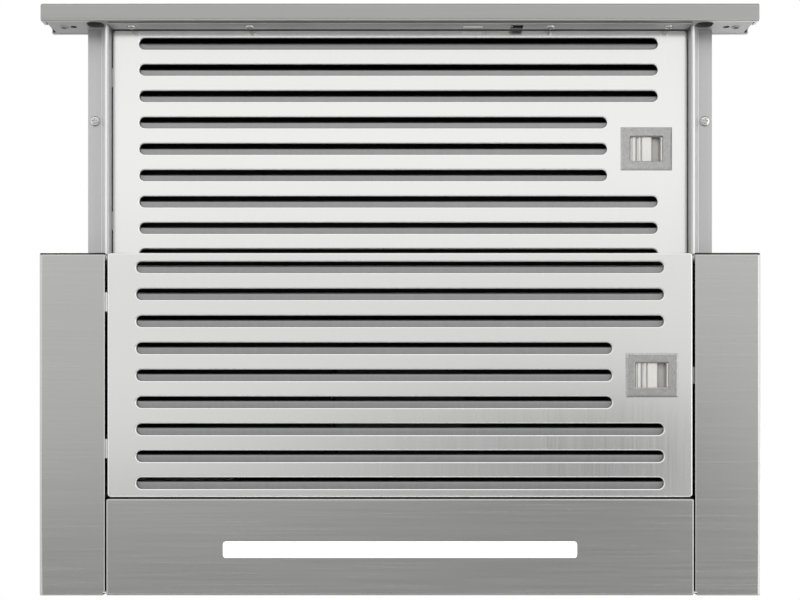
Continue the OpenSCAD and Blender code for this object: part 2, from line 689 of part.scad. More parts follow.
module front_panel() color("silver") {
    y = y_front + front_sheet / 2;
    lip_y = y_visor - front_sheet / 2;
    bottom = front_z + front_sheet / 2;
    top = front_z + front_h - front_sheet / 2;
    along_x(-half_w + front_sheet, half_w - front_sheet)
        folded([[y_visor, bottom], [y, bottom], [y, top], [lip_y, top], [lip_y, top - 3.3]], front_sheet);
    for (side = [-1, 1]) hand(side) along_x(half_w - front_sheet, half_w) difference() {
        translate([y_front, front_z]) square([front_d, front_h]);
        translate([y_visor - 4, front_z + 12]) square([4 + cut, front_h - 16]);
    }
}

module button_holes(grow) {
    translate(fan_button_at) square(fan_button_size + [2, 2] * grow, center = true);
    translate(lamp_button_at) square(lamp_button_size + [2, 2] * grow, center = true);
}

// A plate standing in X and Z, t thick, whose rear face is at y
module upright(y, t) along_y(y - t, y) children();

module front_back_plate() color("gray") upright(y_visor, front_sheet) difference() {
    translate([-half_w + 1.2, plate_z]) square([hood_w - 2.4, plate_h]);
    button_holes(run);
    for (side = [-1, 1]) mirror([side < 0 ? 1 : 0, 0]) {
        polygon([for (p = [[4.4, 4], [17, 4], [15, 16], [4.4, 16]]) [strip_x + p.x, front_z + p.y]]);
        translate([half_w - 25, front_z + 17]) circle(r = 2.2);
        translate([half_w - 16.5, front_z + 18]) circle(r = 1.6);
        for (x = crossbar_screw_x) translate([x, crossbar_z + crossbar_h / 2])
            circle(d = screw_d + 2 * thread_fit);
    }
}

module front_crossbar() color("darkgray") upright(y_visor + crossbar_t, crossbar_t) difference() {
    translate([-strip_x + 1, crossbar_z]) square([2 * strip_x - 2, crossbar_h]);
    button_holes(run);
    for (side = [-1, 1], x = crossbar_screw_x) translate([side * x, crossbar_z + crossbar_h / 2])
        circle(d = screw_d + 2 * hole_fit);
}

module crossbar_screws() color("silver") for (side = [-1, 1], x = crossbar_screw_x)
    translate([side * x, y_visor + crossbar_t, crossbar_z + crossbar_h / 2]) rotate([90, 0, 0])
        pan_screw(crossbar_t + 4);

button_depth = 8;
button_floor = 1.5;
module button_box() color("black") difference() {
    translate([lamp_button_at.x - 14, y_visor - front_sheet - button_depth, crossbar_z])
        cube([fan_button_at.x - lamp_button_at.x + 26, button_depth, crossbar_h]);
    upright(y_visor, front_sheet + button_depth - button_floor) button_holes(run);
}

// A push button whose face stands at y, with its travel free behind it
module button(at, size, y) {
    back = y_visor - front_sheet - button_depth + button_floor + button_travel + run;
    translate([at.x - size.x / 2, back, at.y - size.y / 2]) cube([size.x, y - back, size.y]);
}

module fan_button() color("black") button(fan_button_at, fan_button_size, y_visor + 0.6);
module lamp_button() color("white") button(lamp_button_at, lamp_button_size, y_visor + crossbar_t + 0.2);

// Visor side members and what they carry

member_x = [0, 2.2, 9.2, 21.2]; // from the inner wall out to the end of the flange
member_y1 = y_visor + member_l;
visor_screw_y = [y_visor + 77.4, y_visor + 240];
visor_screw_x = strip_x + 15.2;

module visor_side(side) color("lightgray") difference() {
    hand(side) along_y(y_visor, member_y1) folded([
        [strip_x + member_x[0], visor_filter_z + filter_h - 1], [strip_x + member_x[0], member_z + sheet / 2],
        [strip_x + member_x[1], member_z + sheet / 2], [strip_x + member_x[2], member_flange_z + sheet / 2],
        [strip_x + member_x[3], member_flange_z + sheet / 2]], sheet, 0.4);
    hand(side) catch_slots(side, upper_y, visor_filter_z);
    for (y = visor_screw_y) hand(side) translate([visor_screw_x, y, member_flange_z - cut])
        cylinder(h = sheet + 2 * cut, d = screw_d + 2 * hole_fit);
}

module runner_bracket(side) color("gray") hand(side) difference() {
    along_y(inner_rail_y, member_y1) folded([
        [bracket_x0 + bracket_t / 2, slide_z + race_in],
        [bracket_x0 + bracket_t / 2, member_flange_z + sheet + bracket_t / 2],
        [strip_x + member_x[3] - 0.5, member_flange_z + sheet + bracket_t / 2]], bracket_t, 0.8);
    for (y = visor_screw_y) translate([visor_screw_x, y, member_flange_z + sheet - cut])
        cylinder(h = bracket_t + 2 * cut, d = screw_d + 2 * thread_fit);
}

module visor_screws() color("silver") for (side = [-1, 1], y = visor_screw_y) hand(side)
    translate([visor_screw_x, y, member_flange_z]) pan_screw(sheet + bracket_t);

module visor_rear_bar() color("lightgray") along_x(-strip_x + sheet / 2, strip_x - sheet / 2) {
    y = upper_y + filter_d + 1.5;
    folded([[y, visor_filter_z + 8], [y, visor_filter_z + 0.5], [y + 14, visor_filter_z + 0.5],
        [y + 14, visor_filter_z + 8]], sheet);
}

// Cover over the upper filter: it leads the air back into the casing
visor_top_z = front_z + front_h - skin / 2;
module visor_top() color("lightgray") {
    side = bracket_x0 - 0.1 - skin / 2;
    front = y_visor + 0.1 + skin / 2;
    along_y(front + 3, member_y1 - 30) folded([[-side, visor_top_z - 7], [-side, visor_top_z],
        [side, visor_top_z], [side, visor_top_z - 7]], skin);
    along_x(-strip_x + 4, strip_x - 4)
        folded([[front, visor_top_z - 6], [front, visor_top_z], [front + 9, visor_top_z]], skin);
}

// Grease filters: a slotted face with rolled lips and a baffle plate behind it

slot_x0 = -filter_w / 2 + slot_margin;
slot_x1 = filter_w / 2 - slot_margin;
middle_slot = (slot_count - 1) / 2;
latch_x = filter_w / 2 - bezel_inset - bezel_w / 2; // centre of the latch
function slot_y(i) = filter_d / 2 + (i - middle_slot) * slot_pitch;
function slot_end(i) = slot_x1 - (abs(i - middle_slot) < 1.5 ? latch_room : 0);

module slot_outline(x0, x1, y, r) {
    for (x = [x0 + r, x1 - r]) translate([x, y]) circle(r = r);
    translate([x0 + r, y - r]) square([x1 - x0 - 2 * r, 2 * r]);
}

// Section of the lip, from the slot's centre line outward
module lip_section() {
    in = slot_w / 2;
    intersection() {
        translate([in + lip_r, lip_r]) difference() {
            circle(r = lip_r);
            circle(r = lip_r - skin);
        }
        translate([in, 0]) square([lip_r, lip_r]);
    }
    translate([in, lip_r]) square([skin, lip_h - lip_r]);
}

module rolled_lip(x0, x1, y) {
    r = slot_w / 2;
    for (s = [-1, 1]) translate([0, y, 0]) mirror([0, s < 0 ? 1 : 0, 0])
        along_x(x0 + r, x1 - r) lip_section();
    translate([x1 - r, y, 0]) rotate([0, 0, -90]) rotate_extrude(angle = 180) lip_section();
    translate([x0 + r, y, 0]) rotate([0, 0, 90]) rotate_extrude(angle = 180) lip_section();
}

module tongue_hole(grow) translate([filter_w / 2 - 4, filter_d / 2 - tongue_w / 2 - grow, tongue_z - grow])
    cube([4 + cut, tongue_w + 2 * grow, tongue_t + 2 * grow]);

module filter_face() {
    difference() {
        union() {
            linear_extrude(skin) difference() {
                translate([-filter_w / 2 + 2, 2]) square([filter_w - 4, filter_d - 4]);
                for (i = [0:slot_count - 1])
                    slot_outline(slot_x0 - lip_r, slot_end(i) + lip_r, slot_y(i), slot_w / 2 + lip_r);
                translate([latch_x - bezel_w / 2 + 2, filter_d / 2 - bezel_d / 2 + 2])
                    square([bezel_w - 4, bezel_d - 4]);
            }
            for (side = [-1, 1]) mirror([side < 0 ? 1 : 0, 0, 0]) along_y(0, filter_d) folded([
                [filter_w / 2 - 2, skin / 2], [filter_w / 2 - skin / 2, skin / 2],
                [filter_w / 2 - skin / 2, filter_h]], skin);
            for (side = [-1, 1]) translate([0, filter_d / 2, 0]) mirror([0, side < 0 ? 1 : 0, 0])
                along_x(-filter_w / 2 + 2, filter_w / 2 - 2) folded([
                    [filter_d / 2 - 2, skin / 2], [filter_d / 2 - skin / 2, skin / 2],
                    [filter_d / 2 - skin / 2, filter_h]], skin);
        }
        tongue_hole(run);
    }
    for (i = [0:slot_count - 1]) rolled_lip(slot_x0, slot_end(i), slot_y(i));
    for (y = tab_y) translate([-filter_w / 2 - filter_gap - 3.4, y - tab_w / 2, 1])
        cube([filter_gap + 3.6, tab_w, 1]);
}

module filter_baffle() difference() {
    along_y(skin, filter_d - skin) folded([
        [-filter_w / 2 + skin * 1.5, filter_h - 0.5], [-filter_w / 2 + skin * 1.5, baffle_z + skin / 2],
        [filter_w / 2 - skin * 1.5, baffle_z + skin / 2], [filter_w / 2 - skin * 1.5, filter_h - 0.5]], skin);
    translate([0, 0, baffle_z - cut]) linear_extrude(skin + 2 * cut) {
        for (i = [0:slot_count - 1])
            slot_outline(slot_x0, slot_end(i), slot_y(i) - baffle_shift, baffle_slot_w / 2);
        translate([latch_x - bezel_w / 2 - 1, filter_d / 2 - bezel_d / 2 - 1])
            square([filter_w / 2 - 3.4 - latch_x + bezel_w / 2 + 1, bezel_d + 2]);
    }
    tongue_hole(run);
}

// Latch: a bezel, a sprung slider with its tongue, and the spring

bezel_wall = 1.2;
bezel_rise = 0.8;
bezel_in_w = bezel_w - 4 - 2 * bezel_wall;
bezel_in_d = bezel_d - 4 - 2 * bezel_wall;
bezel_top = filter_h - 1.2;
slider_z = skin + 0.2;
slider_t = 2;
slider_l = bezel_in_w - latch_travel - 0.8;
lug_x = -bezel_in_w / 2 + latch_travel + 12;
spring_r = 1.9;

module latch_bezel() translate([latch_x, filter_d / 2, 0]) difference() {
    union() {
        hull() {
            translate([-bezel_w / 2, -bezel_d / 2, -0.01]) cube([bezel_w, bezel_d, 0.01]);
            translate([-bezel_w / 2 + 1.6, -bezel_d / 2 + 1.6, -bezel_rise])
                cube([bezel_w - 3.2, bezel_d - 3.2, 0.01]);
        }
        translate([-bezel_w / 2 + 2, -bezel_d / 2 + 2, 0]) cube([bezel_w - 4, bezel_d - 4, bezel_top]);
    }
    translate([-bezel_in_w / 2, -bezel_in_d / 2, skin]) cube([bezel_in_w, bezel_in_d, bezel_top]);
    translate([-window_w / 2, -window_d / 2, -bezel_rise - cut])
        cube([window_w, window_d, bezel_rise + skin + 2 * cut]);
    translate([0, -tongue_w / 2 - run, tongue_z - run])
        cube([bezel_w, tongue_w + 2 * run, tongue_t + 2 * run]);
}

module latch_slider() translate([latch_x, filter_d / 2, 0]) {
    x1 = bezel_in_w / 2 - 0.4;
    well = [x1 - 13.6, x1 - 6.4]; // finger well
    d = bezel_in_d - 2 * run;
    difference() {
        translate([x1 - slider_l, -d / 2, slider_z]) cube([slider_l, d, slider_t]);
        translate([well[0], -window_d / 2 + 0.5, slider_z - cut])
            cube([well[1] - well[0], window_d - 1, slider_t + 2 * cut]);
        for (x = [4.4, 7.2]) translate([x1 - slider_l + x, -window_d / 2 + 1, slider_z - cut])
            cube([0.8, window_d - 2, cut + 0.8]);
    }
    translate([well[0] - 1, -window_d / 2 - 0.5, slider_z + slider_t]) difference() {
        cube([well[1] - well[0] + 2, window_d + 1, 3.4]);
        translate([1, 1, -cut]) cube([well[1] - well[0], window_d - 1, 3.4 - 1 + cut]);
    }
    translate([x1 - 4.4, -tongue_w / 2, slider_z]) cube([4.4, tongue_w, tongue_z + tongue_t - slider_z]);
    translate([x1 - 4.4, -tongue_w / 2, tongue_z])
        cube([filter_w / 2 + filter_gap + 4 - latch_x - x1 + 4.4, tongue_w, tongue_t]);
    translate([lug_x, -4, slider_z + slider_t]) cube([1.6, 8, 4.6]);
}

// Compression spring: one tube round a helix, between the bezel wall and the slider's lug
spring_turns = 7;
spring_wire = 0.5;
spring_steps = 10;
module latch_spring() {
    x0 = -bezel_in_w / 2 + 0.05 + spring_wire / 2;
    length = lug_x - 0.05 - spring_wire / 2 - x0;
    n = spring_turns * spring_steps;
    rings = [for (i = [0:n]) let(a = i * 360 / spring_steps) [for (k = [0:5])
        let(q = k * 60, r = spring_r + cos(q) * spring_wire / 2)
        [x0 + length * i / n + sin(q) * spring_wire / 2, r * cos(a), r * sin(a)]]];
    points = [for (ring = rings) each ring];
    sides = [for (i = [0:n - 1], k = [0:5]) each let(a = i * 6 + k, b = i * 6 + (k + 1) % 6)
        [[a, b, b + 6], [a, b + 6, a + 6]]];
    caps = [for (k = [1:4]) each [[0, k + 1, k], [n * 6, n * 6 + k, n * 6 + k + 1]]];
    translate([latch_x, filter_d / 2, slider_z + slider_t + 0.2 + spring_r + spring_wire / 2])
        polyhedron(points, concat(sides, caps));
}

module in_lower() translate([0, lower_y, lower_z]) children();
module in_upper() translate([0, upper_y, visor_filter_z]) children();

side_cover(-1);  // side_cover_left
side_cover(1);  // side_cover_right
casing_shell();
casing_front();
casing_back();
lamp_panel();
light_lens();
led_strip();
lamp_housing();
outlet_collar();
flap_rod();
flap(-1);  // flap_left
flap(1);  // flap_right
scroll_half(-1);  // scroll_left
scroll_half(1);  // scroll_right
motor();
motor_bracket();
motor_shaft();
impeller();
control_box();
control_lid();
cable_gland();
slide_outer(-1);  // slide_outer_left
slide_outer(1);  // slide_outer_right
ball_cage(-1);  // ball_cage_left
ball_cage(1);  // ball_cage_right
balls(-1);  // balls_left
balls(1);  // balls_right
slide_inner(-1);  // slide_inner_left
slide_inner(1);  // slide_inner_right
cover_screws();
lamp_screws();
collar_screws();
blower_screws();
door_switch();
switch_lever();
front_panel();
front_back_plate();
front_crossbar();
visor_side(-1);  // visor_side_left
visor_side(1);  // visor_side_right
visor_top();
runner_bracket(-1);  // runner_bracket_left
runner_bracket(1);  // runner_bracket_right
visor_rear_bar();
visor_screws();
crossbar_screws();
button_box();
fan_button();
lamp_button();
color("silver") in_lower() filter_face();  // lower_filter_face
color("darkgray") in_lower() filter_baffle();  // lower_filter_baffle
color("gray") in_lower() latch_bezel();  // lower_latch_bezel
color("tan") in_lower() latch_slider();  // lower_latch_slider
color("silver") in_lower() latch_spring();  // lower_latch_spring
color("silver") in_upper() filter_face();  // upper_filter_face
color("darkgray") in_upper() filter_baffle();  // upper_filter_baffle
color("gray") in_upper() latch_bezel();  // upper_latch_bezel
color("tan") in_upper() latch_slider();  // upper_latch_slider
color("silver") in_upper() latch_spring();  // upper_latch_spring
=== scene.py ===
import math

import bmesh
import bpy
from mathutils import Matrix, Vector


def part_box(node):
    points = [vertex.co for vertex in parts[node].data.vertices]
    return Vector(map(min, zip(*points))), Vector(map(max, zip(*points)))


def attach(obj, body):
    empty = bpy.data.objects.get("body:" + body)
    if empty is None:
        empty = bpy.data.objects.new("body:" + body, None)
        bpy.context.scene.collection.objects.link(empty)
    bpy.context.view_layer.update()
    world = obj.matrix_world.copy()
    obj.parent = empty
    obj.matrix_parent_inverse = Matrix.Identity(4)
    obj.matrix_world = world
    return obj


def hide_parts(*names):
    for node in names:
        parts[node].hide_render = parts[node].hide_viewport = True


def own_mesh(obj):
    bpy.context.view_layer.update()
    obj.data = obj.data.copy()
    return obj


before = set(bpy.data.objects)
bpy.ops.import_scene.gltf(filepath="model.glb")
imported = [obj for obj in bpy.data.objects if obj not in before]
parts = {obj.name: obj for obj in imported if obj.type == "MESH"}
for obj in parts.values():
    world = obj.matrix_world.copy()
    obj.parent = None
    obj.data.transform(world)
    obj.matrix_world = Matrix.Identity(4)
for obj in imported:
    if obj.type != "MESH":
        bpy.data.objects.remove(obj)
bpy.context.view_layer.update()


# Studio: the hood hangs over a pale floor and is seen straight from below, front edge up.
# Two wide soft lamps light the underside and two the top. The steel mirrors the floor, and its
# bends mirror bright strips and dark cards that stand out of the camera's sight.


def placed(name, data):
    """A new object with this data, linked to the scene."""
    thing = bpy.data.objects.new(name, data)
    bpy.context.scene.collection.objects.link(thing)
    return thing


def add(tree, kind, inputs=None, **settings):
    """The outputs of a new node with these settings, its inputs set to values or linked."""
    node = tree.nodes.new(kind)
    for name, value in settings.items():
        setattr(node, name, value)
    for key, value in (inputs or {}).items():
        if isinstance(value, bpy.types.NodeSocket):
            tree.links.new(value, node.inputs[key])
        else:
            node.inputs[key].default_value = value
    return node.outputs


def maths(tree, operation, *values):
    """What a maths node makes of these values or sockets."""
    return add(tree, "ShaderNodeMath", dict(enumerate(values)), operation=operation)[0]


def vectors(tree, operation, *values):
    """The outputs of a vector maths node on these values or sockets."""
    return add(tree, "ShaderNodeVectorMath", dict(enumerate(values)), operation=operation)


def object_place(tree):
    return add(tree, "ShaderNodeTexCoord")["Object"]


def emptied(owner):
    """The cleared node tree of a material or world."""
    owner.use_nodes = True
    owner.node_tree.nodes.clear()
    return owner.node_tree


scene = bpy.context.scene
camera = placed("camera", bpy.data.cameras.new("camera"))
camera.location = (0, 0.1007, -1.0)
camera.rotation_euler = (math.pi, 0, 0)
camera.data.lens = 54.3
camera.data.sensor_width = 36
camera.data.shift_y = 0.15
camera.data.clip_end = 40
scene.camera = camera
scene.view_settings.view_transform = "Standard"

# the world is white where the camera, a mirror or glass looks, and dimmer as a light
world = bpy.data.worlds.new("studio")
scene.world = world
tree = emptied(world)
rays = add(tree, "ShaderNodeLightPath")
seen = maths(tree, "MAXIMUM", maths(tree, "MAXIMUM", rays["Is Camera Ray"], rays["Is Glossy Ray"]),
             rays["Is Transmission Ray"])
dim, white = (add(tree, "ShaderNodeBackground", {"Color": (1, 1, 1, 1), "Strength": strength})
              for strength in (0.55, 1.0))
add(tree, "ShaderNodeOutputWorld", {"Surface": add(tree, "ShaderNodeMixShader", {
    0: seen, 1: dim[0], 2: white[0]})[0]})


def flat_card(name, centre, across, up):
    """A flat sheet of the studio, and its empty shader tree. Two vectors are its half extents."""
    mesh = bpy.data.meshes.new(name)
    centre, across, up = Vector(centre), Vector(across), Vector(up)
    mesh.from_pydata([centre - across - up, centre + across - up,
                      centre + across + up, centre - across + up], [], [(0, 1, 2, 3)])
    card = placed(name, mesh)
    paint = bpy.data.materials.new(name)
    mesh.materials.append(paint)
    return card, emptied(paint)


floor_tree = flat_card("floor", (0, 0, -2.6), (16, 0, 0), (0, 16, 0))[1]
rays = add(floor_tree, "ShaderNodeLightPath")
mirrored = maths(floor_tree, "MAXIMUM", rays["Is Glossy Ray"], rays["Is Transmission Ray"])
spot = add(floor_tree, "ShaderNodeSeparateXYZ", {0: object_place(floor_tree)})


def fade(along, start, end, low, high):
    """A soft step on the floor, from low before start to high after end."""
    return add(floor_tree, "ShaderNodeMapRange", {
        "Value": spot[along], "From Min": start, "From Max": end, "To Min": low, "To Max": high},
        interpolation_type="SMOOTHSTEP")[0]


def times(first, *others):
    """These fades multiplied."""
    for other in others:
        first = maths(floor_tree, "MULTIPLY", first, other)
    return first


# in mirrors the floor glows: it falls off toward the wall, and is dull for the filter's right
shade = times(times(fade("X", -0.9, 0.85, 0.0, 0.92), fade("X", 0.86, 0.90, 1.0, 0.0)),
              times(fade("Y", -0.02, 0.18, 0.0, 1.0), fade("Y", 0.26, 0.37, 1.0, 0.0)))
falloff = times(fade("Y", -1.05, -0.80, 0.92, 1.0), fade("Y", -0.62, -0.46, 1.16, 1.0),
                fade("Y", 0.08, 0.66, 0.94, 0.385), maths(floor_tree, "SUBTRACT", 1.0, shade))
matt = add(floor_tree, "ShaderNodeBsdfDiffuse", {"Color": (0.93, 0.93, 0.93, 1)})
glow = add(floor_tree, "ShaderNodeEmission", {"Color": (1, 1, 1, 1), "Strength": falloff})
add(floor_tree, "ShaderNodeOutputMaterial", {"Surface": add(floor_tree, "ShaderNodeMixShader", {
    0: mirrored, 1: matt[0], 2: glow[0]})[0]})

for name, centre, across, up, level in (
        ("bright strip front", (0, -2.3, -1.7), (1.9, 0, 0), (0, 0, 0.8), 1.7),
        ("bright strip left", (-2.0, -0.2, -1.5), (0, 1.6, 0), (0, 0, 1.1), 1.3),
        ("bright strip right", (2.0, -0.2, -1.5), (0, 1.6, 0), (0, 0, 1.1), 2.0),
        ("bright strip back", (0, 1.5, -2.5), (1.9, 0, 0), (0, 0.35, 0), 2.1),
        ("dark card front", (0, -3.4, -0.6), (3.2, 0, 0), (0, 0, 1.5), 0.55),
        ("dark card back", (0, 3.4, -0.6), (3.2, 0, 0), (0, 0, 1.5), 0.45)):
    card, tree = flat_card(name, centre, across, up)
    add(tree, "ShaderNodeOutputMaterial", {"Surface": add(tree, "ShaderNodeEmission", {
        "Color": (1, 1, 1, 1), "Strength": level})[0]})
    for ray in ("camera", "shadow", "diffuse", "transmission"):
        setattr(card, "visible_" + ray, False)

aim = Vector((0, 0.05, 0.05))
for name, place, power, size in (
        ("lamp below left", (-1.3, -1.1, -1.7), 34, 1.5),
        ("lamp below right", (1.2, -0.9, -1.9), 22, 1.5),
        ("lamp above left", (-1.5, -1.6, 2.3), 42, 1.6),
        ("lamp above right", (1.9, 0.9, 2.2), 26, 1.6)):
    light = bpy.data.lights.new(name, "AREA")
    light.energy = power
    light.size = size
    lamp = placed(name, light)
    lamp.location = place
    lamp.rotation_euler = (aim - Vector(place)).to_track_quat("-Z", "Y").to_euler()
    lamp.visible_glossy = place[2] > 0


# Casing: a folded galvanised box of 1 mm sheet, closed by a front and a back that stand between
# its sides. It hides in the wall cabinet and carries everything else.


def node_group(name, inputs, outputs, kind="ShaderNodeTree"):
    """A node group with named sockets, and the sockets at its ends to link from and to."""
    tree = bpy.data.node_groups.new(name, kind)
    for in_out, sockets in (("INPUT", inputs), ("OUTPUT", outputs)):
        for label, socket in sockets.items():
            tree.interface.new_socket(label, in_out=in_out, socket_type="NodeSocket" + socket)
    return tree, add(tree, "NodeGroupInput"), tree.nodes.new("NodeGroupOutput").inputs


def tint(tree, given, out, factor):
    """Hands on the colour given, times a factor."""
    tree.links.new(vectors(tree, "MULTIPLY", given["Colour"], factor)[0], out["Colour"])


def vary(tree, given, out, tone, middle, wear, share, height):
    """Hands on a colour that follows a tone about its middle, a roughness that follows wear by
    a share, and a height."""
    swing = maths(tree, "SUBTRACT", tone, middle)
    tint(tree, given, out, maths(tree, "MULTIPLY_ADD", swing, given["Contrast"], 1.0))
    tree.links.new(maths(tree, "MULTIPLY_ADD", wear, share, given["Roughness"]), out["Roughness"])
    tree.links.new(height, out["Height"])


varied_inputs = {"Colour": "Color", "Contrast": "Float", "Roughness": "Float"}
varied_outputs = {"Colour": "Color", "Roughness": "Float", "Height": "Float"}


def spangle_effect():
    """Zinc crystals: cells of slightly different grey, with a slow cloudiness over them."""
    tree, given, out = node_group("zinc spangle", varied_inputs | {"Cell": "Float"},
                                  varied_outputs)
    place = object_place(tree)
    cells = add(tree, "ShaderNodeTexVoronoi", {
        "Vector": place, "Scale": given["Cell"], "Randomness": 1.0})
    shade = add(tree, "ShaderNodeSeparateColor", {0: cells["Color"]})
    cloud = add(tree, "ShaderNodeTexNoise", {
        "Vector": place, "Scale": 9.0, "Detail": 5.0})[0]
    vary(tree, given, out, maths(tree, "ADD", shade[0], cloud), 1.0, shade[1], 0.16, cloud)
    return tree


def make_inward_painted_shade():
    """Painted shade: darkens faces that look toward a centre, as shade inside a box does."""
    tree, given, out = node_group("painted shade on inner sides", {
        "Colour": "Color", "Centre": "Vector", "Least": "Float"}, {"Colour": "Color"})
    place = add(tree, "ShaderNodeTexCoord")
    arm = vectors(tree, "SUBTRACT", place["Object"], given["Centre"])[0]
    toward = vectors(tree, "DOT_PRODUCT", arm, place["Normal"])
    tint(tree, given, out, add(tree, "ShaderNodeMapRange", {
        "Value": toward["Value"], "From Min": -0.002, "From Max": 0.002,
        "To Min": given["Least"]})[0])
    return tree


def make_shade_beyond_line():
    """Painted shade: darkens the sheet beyond a line in Y, toward the back (side 1) or the front
    (side -1), and within a span of X."""
    tree, given, out = node_group("painted shade beyond a line", {
        "Colour": "Color", "Line": "Float", "Side": "Float", "Span": "Float", "Least": "Float"},
        {"Colour": "Color"})
    spot = add(tree, "ShaderNodeSeparateXYZ", {0: object_place(tree)})
    past = maths(tree, "MULTIPLY", maths(tree, "SUBTRACT", spot[1], given["Line"]), given["Side"])
    within = maths(tree, "SUBTRACT", given["Span"], maths(tree, "ABSOLUTE", spot[0]))
    tint(tree, given, out, add(tree, "ShaderNodeMapRange", {
        "Value": maths(tree, "MAXIMUM", past, within), "From Min": -0.0002, "From Max": 0.0002,
        "To Min": 1.0, "To Max": given["Least"]})[0])
    return tree


def surface(name, effect, metallic, bump, shade=None, specular=0.5, **values):
    """A material whose colour, roughness and bump come from a shared effect."""
    made = bpy.data.materials.new(name)
    tree = emptied(made)
    group = add(tree, "ShaderNodeGroup", values, node_tree=effect)
    colour = group["Colour"]
    if shade:
        darker, limits = shade
        colour = add(tree, "ShaderNodeGroup", {**limits, "Colour": colour},
                     node_tree=darker)["Colour"]
    distance, strength = bump
    relief = add(tree, "ShaderNodeBump", {
        "Height": group["Height"], "Distance": distance, "Strength": strength})
    shader = add(tree, "ShaderNodeBsdfPrincipled", {
        "Base Color": colour, "Roughness": group["Roughness"], "Normal": relief[0],
        "Metallic": metallic, "Specular IOR Level": specular})
    add(tree, "ShaderNodeOutputMaterial", {"Surface": shader[0]})
    return made


def dress(finish, *names):
    """Gives CAD pieces their finish."""
    for name in names:
        for slot in parts[name].material_slots:
            slot.material = finish


zinc_spangle = spangle_effect()
inward_painted_shade = make_inward_painted_shade()
painted_shade_beyond_line = make_shade_beyond_line()
# painted shade: the inner faces of the casing are darkened almost to black
galvanised = surface("galvanised sheet", zinc_spangle, 1.0, (0.0002, 0.25),
    Colour=(0.52, 0.53, 0.55, 1), Cell=210, Contrast=0.11, Roughness=0.30,
    shade=(inward_painted_shade, {"Centre": (0, 0.108, 0.10), "Least": 0.06}))
zinc_plate = surface("zinc plated rail", zinc_spangle, 1.0, (0.0001, 0.2),
    Colour=(0.58, 0.59, 0.60, 1), Cell=260, Contrast=0.10, Roughness=0.24)
dress(galvanised, "casing_shell", "casing_front", "casing_back", "lamp_housing",
      "runner_bracket_left", "runner_bracket_right")
dress(zinc_plate, "slide_outer_left", "slide_outer_right", "slide_inner_left", "slide_inner_right",
      "ball_cage_left", "ball_cage_right", "motor_bracket")


# Side covers: folded strips of brushed stainless sheet that finish the underside left and right
# of the filter, screwed to the casing. The grain runs across the hood.


def grain_effect():
    """Brushed grain: long fine streaks over a slow change of tone."""
    tree, given, out = node_group("brushed grain", varied_inputs | {"Stretch": "Vector"},
                                  varied_outputs)
    place = object_place(tree)
    drawn = vectors(tree, "MULTIPLY_ADD", place, given["Stretch"], (31.7, 17.3, 5.9))[0]
    streaks = add(tree, "ShaderNodeTexNoise", {
        "Vector": drawn, "Scale": 1.0, "Detail": 4.0, "Roughness": 0.7})[0]
    aside = vectors(tree, "ADD", place, (0.71, 0.53, 0.37))[0]
    cloud = add(tree, "ShaderNodeTexNoise", {
        "Vector": aside, "Scale": 5.0, "Detail": 2.0})[0]
    both = maths(tree, "MULTIPLY_ADD", cloud, 0.35, streaks)
    vary(tree, given, out, both, 0.675, streaks, 0.14, streaks)
    return tree


brushed_grain = grain_effect()
# painted shade: the front 2 mm of each cover is darkened, for the shade in its rolled edge
cover_steel = surface("brushed cover steel", brushed_grain, 1.0, (0.00006, 0.25),
    Colour=(0.475, 0.475, 0.467, 1), Stretch=(7, 520, 520), Contrast=0.16, Roughness=0.18,
    shade=(painted_shade_beyond_line, {"Line": -0.0364, "Side": -1.0, "Span": -1.0, "Least": 0.10}))


def crisp(form, curved=lambda f: max(abs(c) for c in f.normal) < 0.9999, turn=40):
    """Shades curved faces smooth and leaves flats flat, so that each fold starts on a clean line.
    Edges that turn by more than so many degrees stay sharp."""
    for f in form.faces:
        f.smooth = curved(f)
    for e in form.edges:
        kinds = {f.smooth for f in e.link_faces}
        e.smooth = (len(e.link_faces) == 2 and len(kinds) == 1
                    and e.calc_face_angle() < math.radians(turn))


def finished(form, name, finish, body, node=None, thickness=None, even=True):
    """Makes the piece from its form, hangs it on its body and lets it stand for its CAD node, if
    there is one."""
    mesh = bpy.data.meshes.new(name)
    form.to_mesh(mesh)
    form.free()
    mesh.materials.append(finish)
    piece = placed(name, mesh)
    if thickness:
        wall = piece.modifiers.new("sheet", "SOLIDIFY")
        wall.thickness = thickness
        wall.offset = -1
        wall.use_even_offset = even
    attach(piece, body)
    if node in parts:
        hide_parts(node)
    return piece


def closed_line(form, places):
    """The edges of a closed line through these places."""
    ring = [form.verts.new(place) for place in places]
    return [form.edges.new((a, b)) for a, b in zip(ring, ring[1:] + ring[:1])]


def folded_sheet(corners, panels, bend, hole=None):
    """The outer faces of a folded sheet, with every shared edge turned into a bend."""
    form = bmesh.new()
    points = {key: form.verts.new(place) for key, place in corners.items()}
    for panel in panels:
        form.faces.new([points[key] for key in panel.split()])
    bmesh.ops.recalc_face_normals(form, faces=form.faces)
    lowest = min(form.faces, key=lambda f: f.calc_center_median().z)
    if lowest.normal.z > 0:
        bmesh.ops.reverse_faces(form, faces=form.faces)
    bends = [e for e in form.edges if len(e.link_faces) == 2]
    bmesh.ops.bevel(form, geom=bends, offset=bend, segments=5, profile=0.5, affect="EDGES")
    if hole:
        lowest = min(form.faces, key=lambda f: (round(f.calc_center_median().z, 6), -f.calc_area()))
        rim = list(lowest.edges)
        bmesh.ops.delete(form, geom=[lowest], context="FACES_ONLY")
        rim += closed_line(form, hole)
        filled = bmesh.ops.triangle_fill(form, edges=rim, use_beauty=True, normal=(0, 0, -1))
        for f in filled["geom"]:
            if isinstance(f, bmesh.types.BMFace) and f.normal.z > 0:
                f.normal_flip()
    return form


def sliced(form, faces, place, normal):
    """Cuts these faces along a plane."""
    edges = {e for f in faces for e in f.edges}
    ends = {v for f in faces for v in f.verts}
    bmesh.ops.bisect_plane(form, geom=[*faces, *edges, *ends], plane_co=place, plane_no=normal,
                           dist=1e-7)


